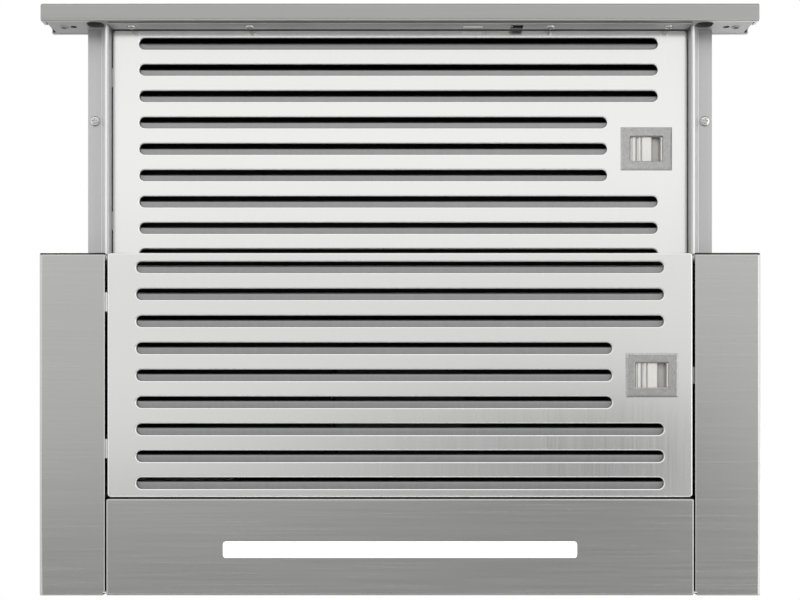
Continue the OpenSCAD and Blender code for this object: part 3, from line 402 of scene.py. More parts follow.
def cleared(form, low, high):
    """Removes the faces whose middle lies in a box."""
    gone = [f for f in form.faces
            if all(low[k] < f.calc_center_median()[k] < high[k] for k in range(3))]
    bmesh.ops.delete(form, geom=gone, context="FACES")


def cut_out(form, low, high):
    """Cuts a box-shaped opening into the sheet."""
    low, high = Vector(low), Vector(high)
    for axis, normal in enumerate(Matrix.Identity(3)):
        for level in (low[axis], high[axis]):
            near = [f for f in form.faces if all(
                min(v.co[k] for v in f.verts) < high[k] and max(v.co[k] for v in f.verts) > low[k]
                for k in range(3))]
            sliced(form, near, normal * level, normal)
    cleared(form, low, high)


cover_in, cover_case, cover_out = 0.2448, 0.2693, 0.2990
cover_front, cover_rear, cover_top, hem = -0.0383, 0.2462, 0.041, 0.011
# the front edge is rolled up by 45 degrees, and the outer edge has a small chamfer
rolled, chamfer, chamfer_top = 0.0021, 0.0018, 0.0008
for side, name in ((-1, "side_cover_left"), (1, "side_cover_right")):
    corners = {key + end: (side * x, y, z)
               for end, y, rise in (("f", cover_front, rolled), ("b", cover_rear, 0))
               for key, x, z in (
                   ("a", cover_in, rise), ("h", cover_out - chamfer, rise),
                   ("e", cover_out, max(rise, chamfer_top)), ("t", cover_out, cover_top),
                   ("c", cover_case, cover_top), ("k", cover_case, 0.051),
                   ("m", cover_case, hem), ("n", cover_in, hem))}
    corners |= {key: (side * x, cover_front + rolled, z) for key, x, z in (
        ("ar", cover_in, 0), ("hr", cover_out - chamfer, 0), ("er", cover_out, chamfer_top))}
    form = folded_sheet(corners, (
        "ar hr hb ab", "hr er eb hb", "er ef tf tb eb", "tf tb cb cf", "cf cb kb kf",
        "ar ab nb nf af", "ar hr hf af", "hr er ef hf", "af hf ef tf cf mf nf",
        "ab hb eb tb cb mb nb"), 0.0009)
    # slots for the hinge tabs at the left and the latch tongue at the right, and the rear notch
    openings = [((0.2446, 0.0555, 0.0039), (0.2452, 0.0715, 0.0065))]
    if side < 0:
        openings = [((0.2446, y - 0.011, 0.0017), (0.2452, y + 0.011, 0.0066))
                    for y in (0.0026, 0.1244)]
    openings.append(((0.2440, 0.2432, -0.001), (0.2463, 0.2470, 0.012)))
    for low, high in openings:
        inner, outer = sorted((side * low[0], side * high[0]))
        cut_out(form, (inner, *low[1:]), (outer, *high[1:]))
    crisp(form)
    finished(form, name + "_sheet", cover_steel, "root", name, thickness=0.0008)


# Lamp panel: a shallow tray of the same brushed sheet between the covers, behind the lower filter,
# with a punched slit for the light. Three screws hold its rear wall to the casing.


def around(x, y, radius, degrees):
    """Points on a circle, at these angles."""
    return [(x + radius * math.cos(math.radians(a)), y + radius * math.sin(math.radians(a)))
            for a in degrees]


def rounded_window(x0, z0, x1, z1, radius, steps=4):
    """Outline of a rectangular cut-out with round corners."""
    points = []
    for x, z, start in ((x1 - radius, z1 - radius, 0), (x0 + radius, z1 - radius, 90),
                        (x0 + radius, z0 + radius, 180), (x1 - radius, z0 + radius, 270)):
        points += around(x, z, radius, [start + k * 90 / steps for k in range(steps + 1)])
    return points


slit = rounded_window(-0.14675, 0.2015, 0.14675, 0.2149, 0.0024, steps=6)
corners = {key + end: (x, y, z) for end, x in (("l", -0.2438), ("r", 0.2439)) for key, y, z in (
    ("f", 0.1660, 0), ("b", cover_rear, 0), ("g", 0.1660, hem), ("c", cover_rear, hem),
    ("t", cover_rear, 0.024))}
form = folded_sheet(corners, (
    "fl fr br bl", "fl fr gr gl", "bl br cr tr tl cl", "fl bl cl gl", "fr br cr gr"),
    0.0014, hole=[(x, y, 0) for x, y in slit])
crisp(form)
finished(form, "lamp_panel_sheet", cover_steel, "root", "lamp_panel",
         thickness=0.0008)


# Lamp: a frosted acrylic diffuser clipped in the slit, lit by a strip of sixteen diodes above it.
# The frost scatters their light, so the slit looks evenly lit.

lit = bpy.data.materials.new("lit diffuser")
tree = emptied(lit)
place = object_place(tree)
frost = add(tree, "ShaderNodeTexNoise", {
    "Vector": place, "Scale": 900.0, "Detail": 2.0})[0]
glow = add(tree, "ShaderNodeMapRange", {"Value": frost, "To Min": 0.97, "To Max": 1.0})
relief = add(tree, "ShaderNodeBump", {"Height": frost, "Distance": 0.00005, "Strength": 0.3})
add(tree, "ShaderNodeOutputMaterial", {"Surface": add(tree, "ShaderNodeBsdfPrincipled", {
    "Base Color": (0.9, 0.9, 0.89, 1), "Roughness": 0.35, "Emission Color": glow[0],
    "Emission Strength": 1.1, "Normal": relief[0]})[0]})
dress(lit, "light_lens")


# Moulded parts: outlet collar, scroll, impeller, gland, door switch and button box in black, and
# electrical box, lid and lamp strip in white, all with a fine spark-eroded texture.


def mould_effect():
    """Moulded plastic: a fine texture and faint flow marks."""
    tree, given, out = node_group("moulded texture", varied_inputs, varied_outputs)
    place = object_place(tree)
    fine = add(tree, "ShaderNodeTexNoise", {
        "Vector": place, "Scale": 1600.0, "Detail": 2.0})[0]
    flow = add(tree, "ShaderNodeTexNoise", {
        "Vector": place, "Scale": 16.0, "Detail": 3.0, "Distortion": 1.2})[0]
    vary(tree, given, out, flow, 0.5, flow, 0.16, fine)
    return tree


moulded = mould_effect()
black_moulding = surface("black moulding", moulded, 0.0, (0.00006, 0.4),
    Colour=(0.030, 0.031, 0.033, 1), Contrast=0.5, Roughness=0.38)
white_moulding = surface("white moulding", moulded, 0.0, (0.00006, 0.3),
    Colour=(0.78, 0.78, 0.76, 1), Contrast=0.10, Roughness=0.36)
dress(black_moulding, "outlet_collar", "scroll_left", "scroll_right", "impeller", "cable_gland",
      "door_switch", "button_box")
dress(white_moulding, "control_box", "control_lid", "led_strip")


# Bare metal: flap rod, motor shaft, balls and switch lever of bright zinc plated steel, as the
# screws and springs further on. The flaps are brushed sheet, and the motor is painted.

bright_steel = surface("bright zinc steel", zinc_spangle, 1.0, (0.00005, 0.2),
    Colour=(0.55, 0.55, 0.545, 1), Cell=700, Contrast=0.14, Roughness=0.18)
flap_sheet = surface("flap sheet", brushed_grain, 1.0, (0.00005, 0.3), Colour=(0.55, 0.55, 0.56, 1),
    Stretch=(300, 6, 300), Contrast=0.15, Roughness=0.34)
motor_paint = surface("motor paint", moulded, 0.3, (0.0001, 0.4), Colour=(0.16, 0.17, 0.18, 1),
    Contrast=0.25, Roughness=0.42)
dress(bright_steel, "flap_rod", "motor_shaft", "balls_left", "balls_right", "switch_lever")
dress(flap_sheet, "flap_left", "flap_right")
dress(motor_paint, "motor")


# Visor frame: front panel, side members and rear bar of brushed stainless sheet, with grey coated
# plates behind the front panel.

front_steel = surface("brushed front steel", brushed_grain, 1.0, (0.00004, 0.3),
    Colour=(0.375, 0.375, 0.371, 1), Stretch=(7, 420, 420), Contrast=0.10, Roughness=0.26)
# painted light: flats of the side members darkened, their sloped walls left bright
member_steel = surface("side member steel", brushed_grain, 0.7, (0.00004, 0.3),
    Colour=(0.68, 0.68, 0.68, 1), Stretch=(420, 7, 420), Contrast=0.10, Roughness=0.30,
    shade=(inward_painted_shade, {"Centre": (0, 0, 0.0265), "Least": 0.62}))
# painted shade: the undersides of the visor cover and rear bar are darkened almost to black
top_steel = surface("visor cover steel", brushed_grain, 1.0, (0.00004, 0.3),
    Colour=(0.46, 0.46, 0.455, 1), Stretch=(7, 420, 420), Contrast=0.12, Roughness=0.30,
    shade=(inward_painted_shade, {"Centre": (0, -0.1, -3.0), "Least": 0.05}))
grey_coat = surface("grey coated steel", moulded, 0.5, (0.00008, 0.3), Colour=(0.42, 0.42, 0.42, 1),
    Contrast=0.5, Roughness=0.40)
# painted shade: the dished recesses and the plate between the side members are darkened
plate_coat = surface("grey coat, dull in the recesses", moulded, 0.5, (0.00008, 0.3),
    Colour=(0.34, 0.34, 0.34, 1), Contrast=0.5, Roughness=0.40,
    shade=(painted_shade_beyond_line, {"Line": -0.2320, "Side": -1.0, "Span": 0.2440, "Least": 0.14}))
dress(member_steel, "visor_side_left", "visor_side_right")
dress(top_steel, "visor_top", "visor_rear_bar")
dress(grey_coat, "front_crossbar")

panel_front, panel_rear, panel_web = -0.2462, -0.2314, -0.2354
corners = {key + end: (side * (cover_out - inset), y, z)
           for end, side in (("l", -1), ("r", 1)) for key, inset, y, z in (
               ("a", 0, -0.2444, 0.003), ("b", 0, -0.2334, 0.003), ("p", 0, panel_rear, 0.0040),
               ("c", 0, panel_rear, 0.015), ("d", 0, panel_web, 0.015),
               ("e", 0, panel_web, 0.0372), ("f", 0, panel_rear, 0.0372),
               ("g", 0, panel_rear, cover_top), ("h", 0, panel_front, cover_top),
               ("k", 0, panel_front, 0.0048), ("m", 0.003, panel_rear, 0.0062),
               ("n", 0.003, panel_rear, 0.015))}
form = folded_sheet(corners, (
    "al ar br bl", "al ar kr kl", "kl kr hr hl", "hl hr gr gl", "gl gr fr fl", "bl br pr pl",
    "al bl pl cl dl el fl gl hl kl", "ar br pr cr dr er fr gr hr kr", "pl pr cr nr mr ml nl cl"),
    0.0005)
crisp(form)
finished(form, "front_panel_sheet", front_steel, "visor", "front_panel",
         thickness=0.001)


# Plate behind the front panel: sheet steel with a grey coat, cut out for the side members at both
# ends and pierced for the buttons. Four screws hold the crossbar to it.


def round_hole(x, z, radius):
    return around(x, z, radius, [18 * k for k in range(20)])


def skin(form, rings):
    """Quads from each ring of vertices to the next."""
    for first, second in zip(rings, rings[1:]):
        for k in range(len(first)):
            form.faces.new((first[k - 1], first[k], second[k], second[k - 1]))


def pierced_plate(outlines, back, front):
    """A plate in X and Z between two values of Y. The first outline is its edge, the others are
    its holes."""
    form = bmesh.new()
    edges = []
    for outline in outlines:
        edges += closed_line(form, [(x, back, z) for x, z in outline])
    bmesh.ops.triangle_fill(form, edges=edges, use_beauty=True, normal=(0, 1, 0))
    raised = bmesh.ops.extrude_face_region(form, geom=form.faces[:])["geom"]
    moved = [v for v in raised if isinstance(v, bmesh.types.BMVert)]
    bmesh.ops.translate(form, verts=moved, vec=(0, front - back, 0))
    return form


outlines = [rounded_window(-0.2946, 0.0062, 0.2946, 0.0362, 0.0006),
            rounded_window(0.0932, 0.0117, 0.1038, 0.0213, 0.0006),
            rounded_window(0.0527, 0.0135, 0.0703, 0.0185, 0.0006)]
recesses = [(-0.2630, 0.0066, -0.2486, 0.0236), (0.2486, 0.0066, 0.2630, 0.0236)]
rivet_x, rivet_z = 0.2840, 0.0205
for side, recess in zip((-1, 1), recesses):
    outlines += [rounded_window(*recess, 0.0058), round_hole(side * 0.2757, 0.0198, 0.0028),
                 round_hole(side * rivet_x, rivet_z, 0.0022)]
    outlines += [round_hole(side * x, 0.0150, 0.0019) for x in (0.1265, 0.2260)]
form = pierced_plate(outlines, -0.2314, -0.2324)
# both ends: a collar round the rivet hole, and a dished recess beside the side member
for side, (x0, z0, x1, z1) in zip((-1, 1), recesses):
    collar = [(round_hole(side * rivet_x, rivet_z, radius), y) for radius, y in (
        (0.0022, -0.2322), (0.0025, -0.2307), (0.0034, -0.2307), (0.0038, -0.2315))]
    dish = [(rounded_window(x0 + t * 0.0030, z0 + t * 0.0024, x1 - t * 0.0030, z1 - t * 0.0024,
                            0.0058 - t * 0.0022),
             -0.2316 - 0.0030 * math.sin(t * math.pi / 2)) for t in (0, 0.25, 0.5, 0.75, 1.0)]
    for levels in (collar, dish):
        rings = [[form.verts.new((x, y, z)) for x, z in outline] for outline, y in levels]
        skin(form, rings)
    form.faces.new(rings[-1])
bmesh.ops.recalc_face_normals(form, faces=form.faces)
crisp(form)
finished(form, "front_back_plate_sheet", plate_coat, "visor", "front_back_plate")


# Grease filters: each is a slotted face of stainless sheet whose slots have lips rolled inward,
# with a slotted baffle plate welded behind it. Each is drawn as one sheet: plate, lips and rim.

filter_steel = surface("filter steel", brushed_grain, 1.0, (0.00003, 0.2),
    Colour=(0.76, 0.76, 0.755, 1), Stretch=(800, 12, 800), Contrast=0.06, Roughness=0.13)
# painted shade: the rear end of the upper filter's face, above the lower filter, is darkened to
# black
shaded_steel = surface("filter steel, painted shade at the rear end", brushed_grain, 1.0, (0.00003, 0.2),
    Colour=(0.82, 0.82, 0.815, 1), Stretch=(800, 12, 800), Contrast=0.06, Roughness=0.13,
    shade=(painted_shade_beyond_line, {"Line": -0.0350, "Side": 1.0, "Span": -1.0, "Least": 0.03}))
baffle_steel = surface("baffle steel", brushed_grain, 1.0, (0.00004, 0.3),
    Colour=(0.33, 0.33, 0.33, 1), Stretch=(400, 9, 400), Contrast=0.25, Roughness=0.30)


def point(tree, x=0.0, y=0.0, z=0.0):
    return add(tree, "ShaderNodeCombineXYZ", {0: x, 1: y, 2: z})[0]


def share(tree, whole, part):
    return maths(tree, "MULTIPLY", whole, part)


def straight(tree, start, end):
    return add(tree, "GeometryNodeCurvePrimitiveLine", {"Start": start, "End": end})[0]


def bend(tree, steps, start, middle, end):
    return add(tree, "GeometryNodeCurveQuadraticBezier", {
        "Resolution": steps, "Start": start, "Middle": middle, "End": end})[0]


def joined(tree, *pieces):
    node = tree.nodes.new("GeometryNodeJoinGeometry")
    for piece in pieces:
        tree.links.new(piece, node.inputs[0])
    return node.outputs[0]


def upright(tree, curve):
    """The curve with its normals held level, so that a section keeps its way up along it."""
    return add(tree, "GeometryNodeSetCurveNormal", {"Curve": curve}, mode="Z_UP")[0]


def swept(tree, curve, section, caps=False):
    return add(tree, "GeometryNodeCurveToMesh", {
        "Curve": curve, "Profile Curve": section, "Fill Caps": caps})[0]


def hand_over(tree, out, shape, steel):
    """Ends a Geometry Nodes tree: instances made real, and the material set."""
    real = add(tree, "GeometryNodeRealizeInstances", {0: shape})
    done = add(tree, "GeometryNodeSetMaterial", {"Geometry": real[0], "Material": steel})
    tree.links.new(done[0], out[0])


def filter_sheet_tree():
    """Geometry Nodes for a slotted sheet, drawn face down with its front edge at y = 0."""
    lengths = ("Width", "Depth", "Wall", "Pitch", "Row shift", "Slot width", "Left end",
               "Long slot", "Short slot", "Lip radius", "Lip height", "Latch x", "Latch width",
               "Latch depth")
    tree, given, out = node_group(
        "filter sheet", dict.fromkeys(lengths, "Float") | {"Slots": "Int", "Steel": "Material"},
        {"Geometry": "Geometry"}, "GeometryNodeTree")

    def rounded(width, depth, centre, radius, steps):
        """A rectangle with round corners about a centre."""
        outline = add(tree, "GeometryNodeCurvePrimitiveQuadrilateral", {
            "Width": width, "Height": depth})
        moved = add(tree, "GeometryNodeTransform", {
            "Geometry": outline[0], "Translation": centre})
        fillet = add(tree, "GeometryNodeFilletCurve", {
            "Curve": moved[0], "Radius": radius, "Count": steps, "Limit Radius": True},
            mode="POLY")
        return upright(tree, fillet[0])

    lip = given["Lip radius"]
    outside = maths(tree, "MULTIPLY_ADD", lip, 2.0, given["Slot width"])
    corner = share(tree, outside, 0.4995)
    middle_y = share(tree, given["Depth"], 0.5)
    half_row = share(tree, maths(tree, "SUBTRACT", given["Slots"], 1.0), 0.5)
    first_y = maths(tree, "SUBTRACT", maths(tree, "ADD", middle_y, given["Row shift"]),
                    share(tree, given["Pitch"], half_row))
    row = add(tree, "GeometryNodeMeshLine", {
        "Count": given["Slots"], "Start Location": point(tree, given["Left end"], first_y),
        "Offset": point(tree, 0.0, given["Pitch"])})
    # the three slots beside the latch are shorter
    index = add(tree, "GeometryNodeInputIndex")[0]
    from_middle = maths(tree, "ABSOLUTE", maths(tree, "SUBTRACT", index, half_row))
    beside_latch = maths(tree, "LESS_THAN", from_middle, 1.5)
    outlines = []
    for length, chosen in ((given["Long slot"], maths(tree, "SUBTRACT", 1.0, beside_latch)),
                           (given["Short slot"], beside_latch)):
        whole = maths(tree, "MULTIPLY_ADD", lip, 2.0, length)
        one = rounded(whole, outside, point(tree, share(tree, length, 0.5)), corner, 10)
        copies = add(tree, "GeometryNodeInstanceOnPoints", {
            "Points": row[0], "Selection": chosen, "Instance": one})
        real = add(tree, "GeometryNodeRealizeInstances", {0: copies[0]})
        outlines.append(real[0])
    slots = upright(tree, joined(tree, *outlines))

    rim, rim_bend = 0.002, 0.0014
    border = rounded(maths(tree, "SUBTRACT", given["Width"], 2 * rim),
                     maths(tree, "SUBTRACT", given["Depth"], 2 * rim),
                     point(tree, 0.0, middle_y), 0.0012, 5)
    latch = rounded(given["Latch width"], given["Latch depth"],
                    point(tree, given["Latch x"], middle_y), 0.0008, 3)
    plate = add(tree, "GeometryNodeFillCurve", {0: joined(tree, border, slots, latch)})[0]
    back = share(tree, lip, -1.0)
    lip_end = point(tree, back, share(tree, given["Lip height"], -1.0))
    lip_line = joined(tree, bend(tree, 6, (0, 0, 0), point(tree, back), point(tree, back, back)),
                      straight(tree, point(tree, back, back), lip_end))
    wall_end = point(tree, rim, share(tree, given["Wall"], -1.0))
    rim_line = joined(
        tree, straight(tree, (0, 0, 0), (rim - rim_bend, 0, 0)),
        bend(tree, 6, (rim - rim_bend, 0, 0), (rim, 0, 0), (rim, -rim_bend, 0)),
        straight(tree, (rim, -rim_bend, 0), wall_end))
    whole = joined(tree, plate, swept(tree, slots, lip_line), swept(tree, border, rim_line))
    sheet = add(tree, "GeometryNodeMergeByDistance", {"Geometry": whole, "Distance": 0.00001})
    hand_over(tree, out, sheet[0], given["Steel"])
    return tree


def grown(name, tree, values, start=None):
    """The form that a Geometry Nodes tree makes with these inputs."""
    holder = placed(name, start or bpy.data.meshes.new(name))
    nodes = holder.modifiers.new(name, "NODES")
    nodes.node_group = tree
    sockets = {item.name: item.identifier for item in tree.interface.items_tree
               if item.in_out == "INPUT"}
    for label, value in values.items():
        nodes[sockets[label]] = value
    scene_now = bpy.context.evaluated_depsgraph_get()
    shape = bpy.data.meshes.new_from_object(holder.evaluated_get(scene_now))
    holder.modifiers.remove(nodes)
    bpy.data.objects.remove(holder)
    form = bmesh.new()
    form.from_mesh(shape)
    bpy.data.meshes.remove(shape)
    return form


def block(form, centre, size):
    """A box of this size about its centre."""
    bmesh.ops.create_cube(form, size=1, matrix=Matrix.Translation(centre)
                          @ Matrix.Diagonal((*size, 1)))


filter_tree = filter_sheet_tree()
filter_depth = 0.203
latch_x, filter_middle = 0.209, filter_depth / 2
# the latch tongue leaves through an opening in the right-hand wall
tongue_front, tongue_rear = filter_middle - 0.0073, filter_middle + 0.0073
tongue_low, tongue_high = 0.0029, 0.0055
filters = (("lower", "lower_filter", -0.0380, 0.001, 0.4860, -0.2190, 0.4380, filter_steel),
           ("upper", "visor", -0.2309, 0.024, 0.4878, -0.2212, 0.4398, shaded_steel))
for name, carrier, y, z, width, left, long, steel in filters:
    face = {"Width": width, "Depth": filter_depth, "Wall": 0.009, "Slots": 9, "Pitch": 0.0224,
            "Row shift": 0.0, "Slot width": 0.0092, "Left end": left, "Long slot": long,
            "Short slot": long - 0.043, "Lip radius": 0.0012, "Lip height": 0.0034,
            "Latch x": latch_x, "Latch width": 0.040, "Latch depth": 0.033, "Steel": steel}
    baffle = face | {"Width": 0.4842, "Depth": 0.2013, "Wall": 0.0038, "Row shift": -0.005,
                     "Slot width": 0.0062, "Left end": left - 0.0015, "Long slot": long + 0.003,
                     "Short slot": long - 0.040, "Lip radius": 0.0024, "Lip height": 0.0028,
                     "Latch x": 0.2128, "Latch width": 0.0536, "Latch depth": 0.039,
                     "Steel": baffle_steel}
    for part, slot, values, sheet_y, sheet_z, wall_x in (
            ("face", "filter_steel", face, 0, 0, 0.2425),
            ("baffle", "baffle_steel", baffle, 0.00085, 0.0046, 0.2390)):
        form = grown(name + " filter " + part, filter_tree, values)
        bmesh.ops.translate(form, verts=form.verts, vec=(0, sheet_y, sheet_z))
        for place, normal in (((0, tongue_front, 0), (0, 1, 0)), ((0, tongue_rear, 0), (0, 1, 0)),
                              ((0, 0, tongue_low), (0, 0, 1)), ((0, 0, tongue_high), (0, 0, 1))):
            wall = [f for f in form.faces if f.calc_center_median().x > wall_x]
            sliced(form, wall, place, normal)
        cleared(form, (wall_x, tongue_front, tongue_low), (math.inf, tongue_rear, tongue_high))
        bmesh.ops.recalc_face_normals(form, faces=form.faces)
        if sum(f.normal.z * f.calc_area() for f in form.faces if abs(f.normal.z) > 0.999) > 0:
            bmesh.ops.reverse_faces(form, faces=form.faces)
        # the plate stays flat right up to its bends
        crisp(form, lambda f: abs(f.normal.z) < 0.9999, 38)
        bmesh.ops.translate(form, verts=form.verts, vec=(0, y, z))
        node = name + "_filter_" + part
        finished(form, node + "_sheet", values["Steel"], carrier, node,
                 thickness=0.0008, even=False)
    # hinge tabs: two tongues bent out of the left-hand wall
    form = bmesh.new()
    for along in (0.2, 0.8):
        block(form, (-0.2456, y + filter_depth * along, z + 0.0015), (0.0050, 0.016, 0.001))
    bmesh.ops.bevel(form, geom=form.edges[:], offset=0.0003, segments=2, affect="EDGES")
    finished(form, name + "_filter_tabs", steel, carrier)


# Buttons: a square one for the fan, with a small indicator at its left, and a light bar for the
# lamp. Both are moulded caps with rounded faces that go through the crossbar into the button box.

button_black = surface("fan button", moulded, 0.0, (0.00005, 0.3), Colour=(0.006, 0.006, 0.006, 1),
    Contrast=0.4, Roughness=0.60, specular=0.05)
for name, body, finish, slot, x, half_x, z, half_z, corner, back_y, face_y, crown in (
        ("fan_button", "fan_button", button_black, "dark_plastic",
         0.0985, 0.005, 0.0165, 0.0045, 0.0006, -0.2371, -0.2308, 0.0004),
        ("fan_indicator", "fan_button", white_moulding, "white_plastic",
         0.0944, 0.0007, 0.0165, 0.0008, 0.00035, -0.2320, -0.23065, 0.0001),
        ("lamp_button", "lamp_button", white_moulding, "white_plastic",
         0.0615, 0.0085, 0.0160, 0.0022, 0.0006, -0.2371, -0.2300, 0.0004)):
    form = bmesh.new()
    rings = []
    for inset, level in ((0.0, back_y), (0.0, face_y - crown), (crown, face_y - 0.3 * crown),
                         (2.2 * crown, face_y)):
        outline = rounded_window(x - half_x + inset, z - half_z + inset,
                                 x + half_x - inset, z + half_z - inset, corner)
        rings.append([form.verts.new((px, level, pz)) for px, pz in outline])
    skin(form, rings)
    form.faces.new(rings[0])
    form.faces.new(rings[-1])
    bmesh.ops.recalc_face_normals(form, faces=form.faces)
    crisp(form)
    finished(form, name + "_cap", finish, body, name)


# Latches: a cast bezel snapped into each filter, with a moulded slider behind its window. The
# finger draws the slider to the left and its tongue leaves the frame. A spring pushes it back.

bezel_grey = surface("cast bezel", zinc_spangle, 0.85, (0.0002, 0.6), Colour=(0.37, 0.37, 0.365, 1),
    Cell=1500, Contrast=0.40, Roughness=0.28)

# half width, half depth and height of each turn of the bezel's section, in millimetres
bezel_section = ((14, 10.5, -0.3), (14.6, 11.1, -0.8), (20.4, 16.9, -0.8), (22, 18.5, 0.0),
                 (20, 16.5, 0), (20, 16.5, 7.8), (18.8, 15.3, 7.8), (18.8, 15.3, 0.8),
                 (14, 10.5, 0.8))
# outline of the slider's underside across its ridges, grooves and finger well, in millimetres
ridges = [(-13.4, 3.0), (-13.4, 1.7), (-12.0, 1.5)]
for centre, half in ((-9.8, 2.0), (-5.2, 1.4)):
    ridges += [(centre - half * math.cos(math.pi * k / 8), 2.4 - 1.35 * math.sin(math.pi * k / 8))
               for k in range(9)]
ridges += [(-3.4, 2.2), (-3.2, 1.3), (4.2, 1.3), (4.9, 2.0), (5.1, 4.6), (11.6, 4.9), (12.1, 1.5),
           (12.6, 1.05), (13.7, 1.05), (14.0, 1.5), (14.0, 3.0), (13.2, 5.2), (12.9, 6.2),
           (4.0, 6.2), (3.6, 3.0)]
# corners of the slider's borders, the foot and bar of its tongue, and its spring lug
slider_blocks = (((-13.4, -15, 1.3), (3.8, -10.1, 3.0)), ((-13.4, 10.1, 1.3), (3.8, 15, 3.0)),
                 ((13.4, -15, 1.3), (18.4, 15, 3.0)), ((3.6, -15, 1.3), (13.6, -10.1, 3.0)),
                 ((3.6, 10.1, 1.3), (13.6, 15, 3.0)), ((14, -7, 1.2), (18.4, 7, 5.2)),
                 ((18, -7, 3.2), (39.8, 7, 5.2)), ((-1.8, -4, 2.8), (-0.2, 4, 7.6)))


def eased(piece, width):
    """Rounds the edges of a cast or moulded piece."""
    edges = piece.modifiers.new("edges", "BEVEL")
    edges.width = width
    edges.segments = 2
    edges.limit_method = "ANGLE"


for name, carrier, y, z, *_ in filters:
    place = Vector((latch_x, y + filter_middle, z))
    # painted shade: the plastic is darkened in the grooves and in the well
    slider_beige = surface(name + " slider plastic", moulded, 0.0, (0.00005, 0.3),
        Colour=(0.58, 0.57, 0.54, 1), Contrast=0.10, Roughness=0.22,
        shade=(inward_painted_shade, {"Centre": (latch_x, place.y, z + 0.0031), "Least": 0.42}))
    form = bmesh.new()
    rings = [[form.verts.new((a * w / 1000, b * d / 1000, h / 1000))
              for a, b in ((-1, -1), (1, -1), (1, 1), (-1, 1))] for w, d, h in bezel_section]
    skin(form, rings + rings[:1])
    bmesh.ops.recalc_face_normals(form, faces=form.faces)
    cut_out(form, (0.0187, -0.0073, tongue_low), (0.0201, 0.0073, tongue_high))
    bmesh.ops.bridge_loops(form, edges=[e for e in form.edges if len(e.link_faces) == 1])
    bmesh.ops.recalc_face_normals(form, faces=form.faces)
    bmesh.ops.translate(form, verts=form.verts, vec=place)
    eased(finished(form, name + "_latch_frame", bezel_grey, carrier,
                   name + "_latch_bezel"), 0.00025)

    form = bmesh.new()
    cap = form.faces.new([form.verts.new((x / 1000, -0.0102, h / 1000)) for x, h in ridges])
    drawn = bmesh.ops.extrude_face_region(form, geom=[cap])["geom"]
    far_end = [v for v in drawn if isinstance(v, bmesh.types.BMVert)]
    bmesh.ops.translate(form, verts=far_end, vec=(0, 0.0204, 0))
    bmesh.ops.recalc_face_normals(form, faces=form.faces)
    for low, high in slider_blocks:
        low, high = Vector(low) / 1000, Vector(high) / 1000
        block(form, (low + high) / 2, high - low)
    bmesh.ops.translate(form, verts=form.verts, vec=place)
    eased(finished(form, name + "_latch_slide", slider_beige, name + "_latch",
                   name + "_latch_slider"), 0.0002)


# Latch springs: spring steel wire of 0.5 mm in seven turns, between the end wall of the bezel and
# the lug on the slider. Each is made at its rest length, though the real one gives way by 5 mm when
# the slider is drawn.


def spring_tree():
    """Geometry Nodes for a compression spring along X: one wire swept round a helix."""
    tree, given, out = node_group("compression spring", {
        "Length": "Float", "Radius": "Float", "Wire radius": "Float", "Turns": "Float",
        "Steel": "Material"}, {"Geometry": "Geometry"}, "GeometryNodeTree")
    helix = add(tree, "GeometryNodeCurveSpiral", {
        "Resolution": 24, "Rotations": given["Turns"], "Start Radius": given["Radius"],
        "End Radius": given["Radius"], "Height": given["Length"]})
    along = add(tree, "GeometryNodeTransform", {
        "Geometry": helix[0], "Rotation": (0, math.pi / 2, 0)})
    section = add(tree, "GeometryNodeCurvePrimitiveCircle", {
        "Resolution": 10, "Radius": given["Wire radius"]})
    wire = swept(tree, along[0], section[0], caps=True)
    hand_over(tree, out, wire, given["Steel"])
    return tree


wire_radius, spring_travel, play = 0.00025, 0.005, 0.0001
coil_tree = spring_tree()
for name, carrier, *_ in filters:
    low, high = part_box(name + "_latch_spring")
    form = grown(name + " spring", coil_tree, {
        "Length": high.x - low.x - 2 * wire_radius, "Radius": (high.y - low.y) / 2 - wire_radius,
        "Wire radius": wire_radius, "Turns": 7.0, "Steel": bright_steel})
    bmesh.ops.translate(form, verts=form.verts, vec=(
        low.x + wire_radius, (low.y + high.y) / 2, (low.z + high.z) / 2))
    bmesh.ops.recalc_face_normals(form, faces=form.faces)
    for f in form.faces:
        f.smooth = len(f.verts) == 4
    spring = finished(form, name + "_latch_coil", bright_steel, carrier,
                      name + "_latch_spring")
    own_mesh(spring)


# Screws: pan heads with a cross recess and a rolled thread, one shape grown for every hole. The
# recess is cut as a solid, and each copy turns to the way its hole faces.


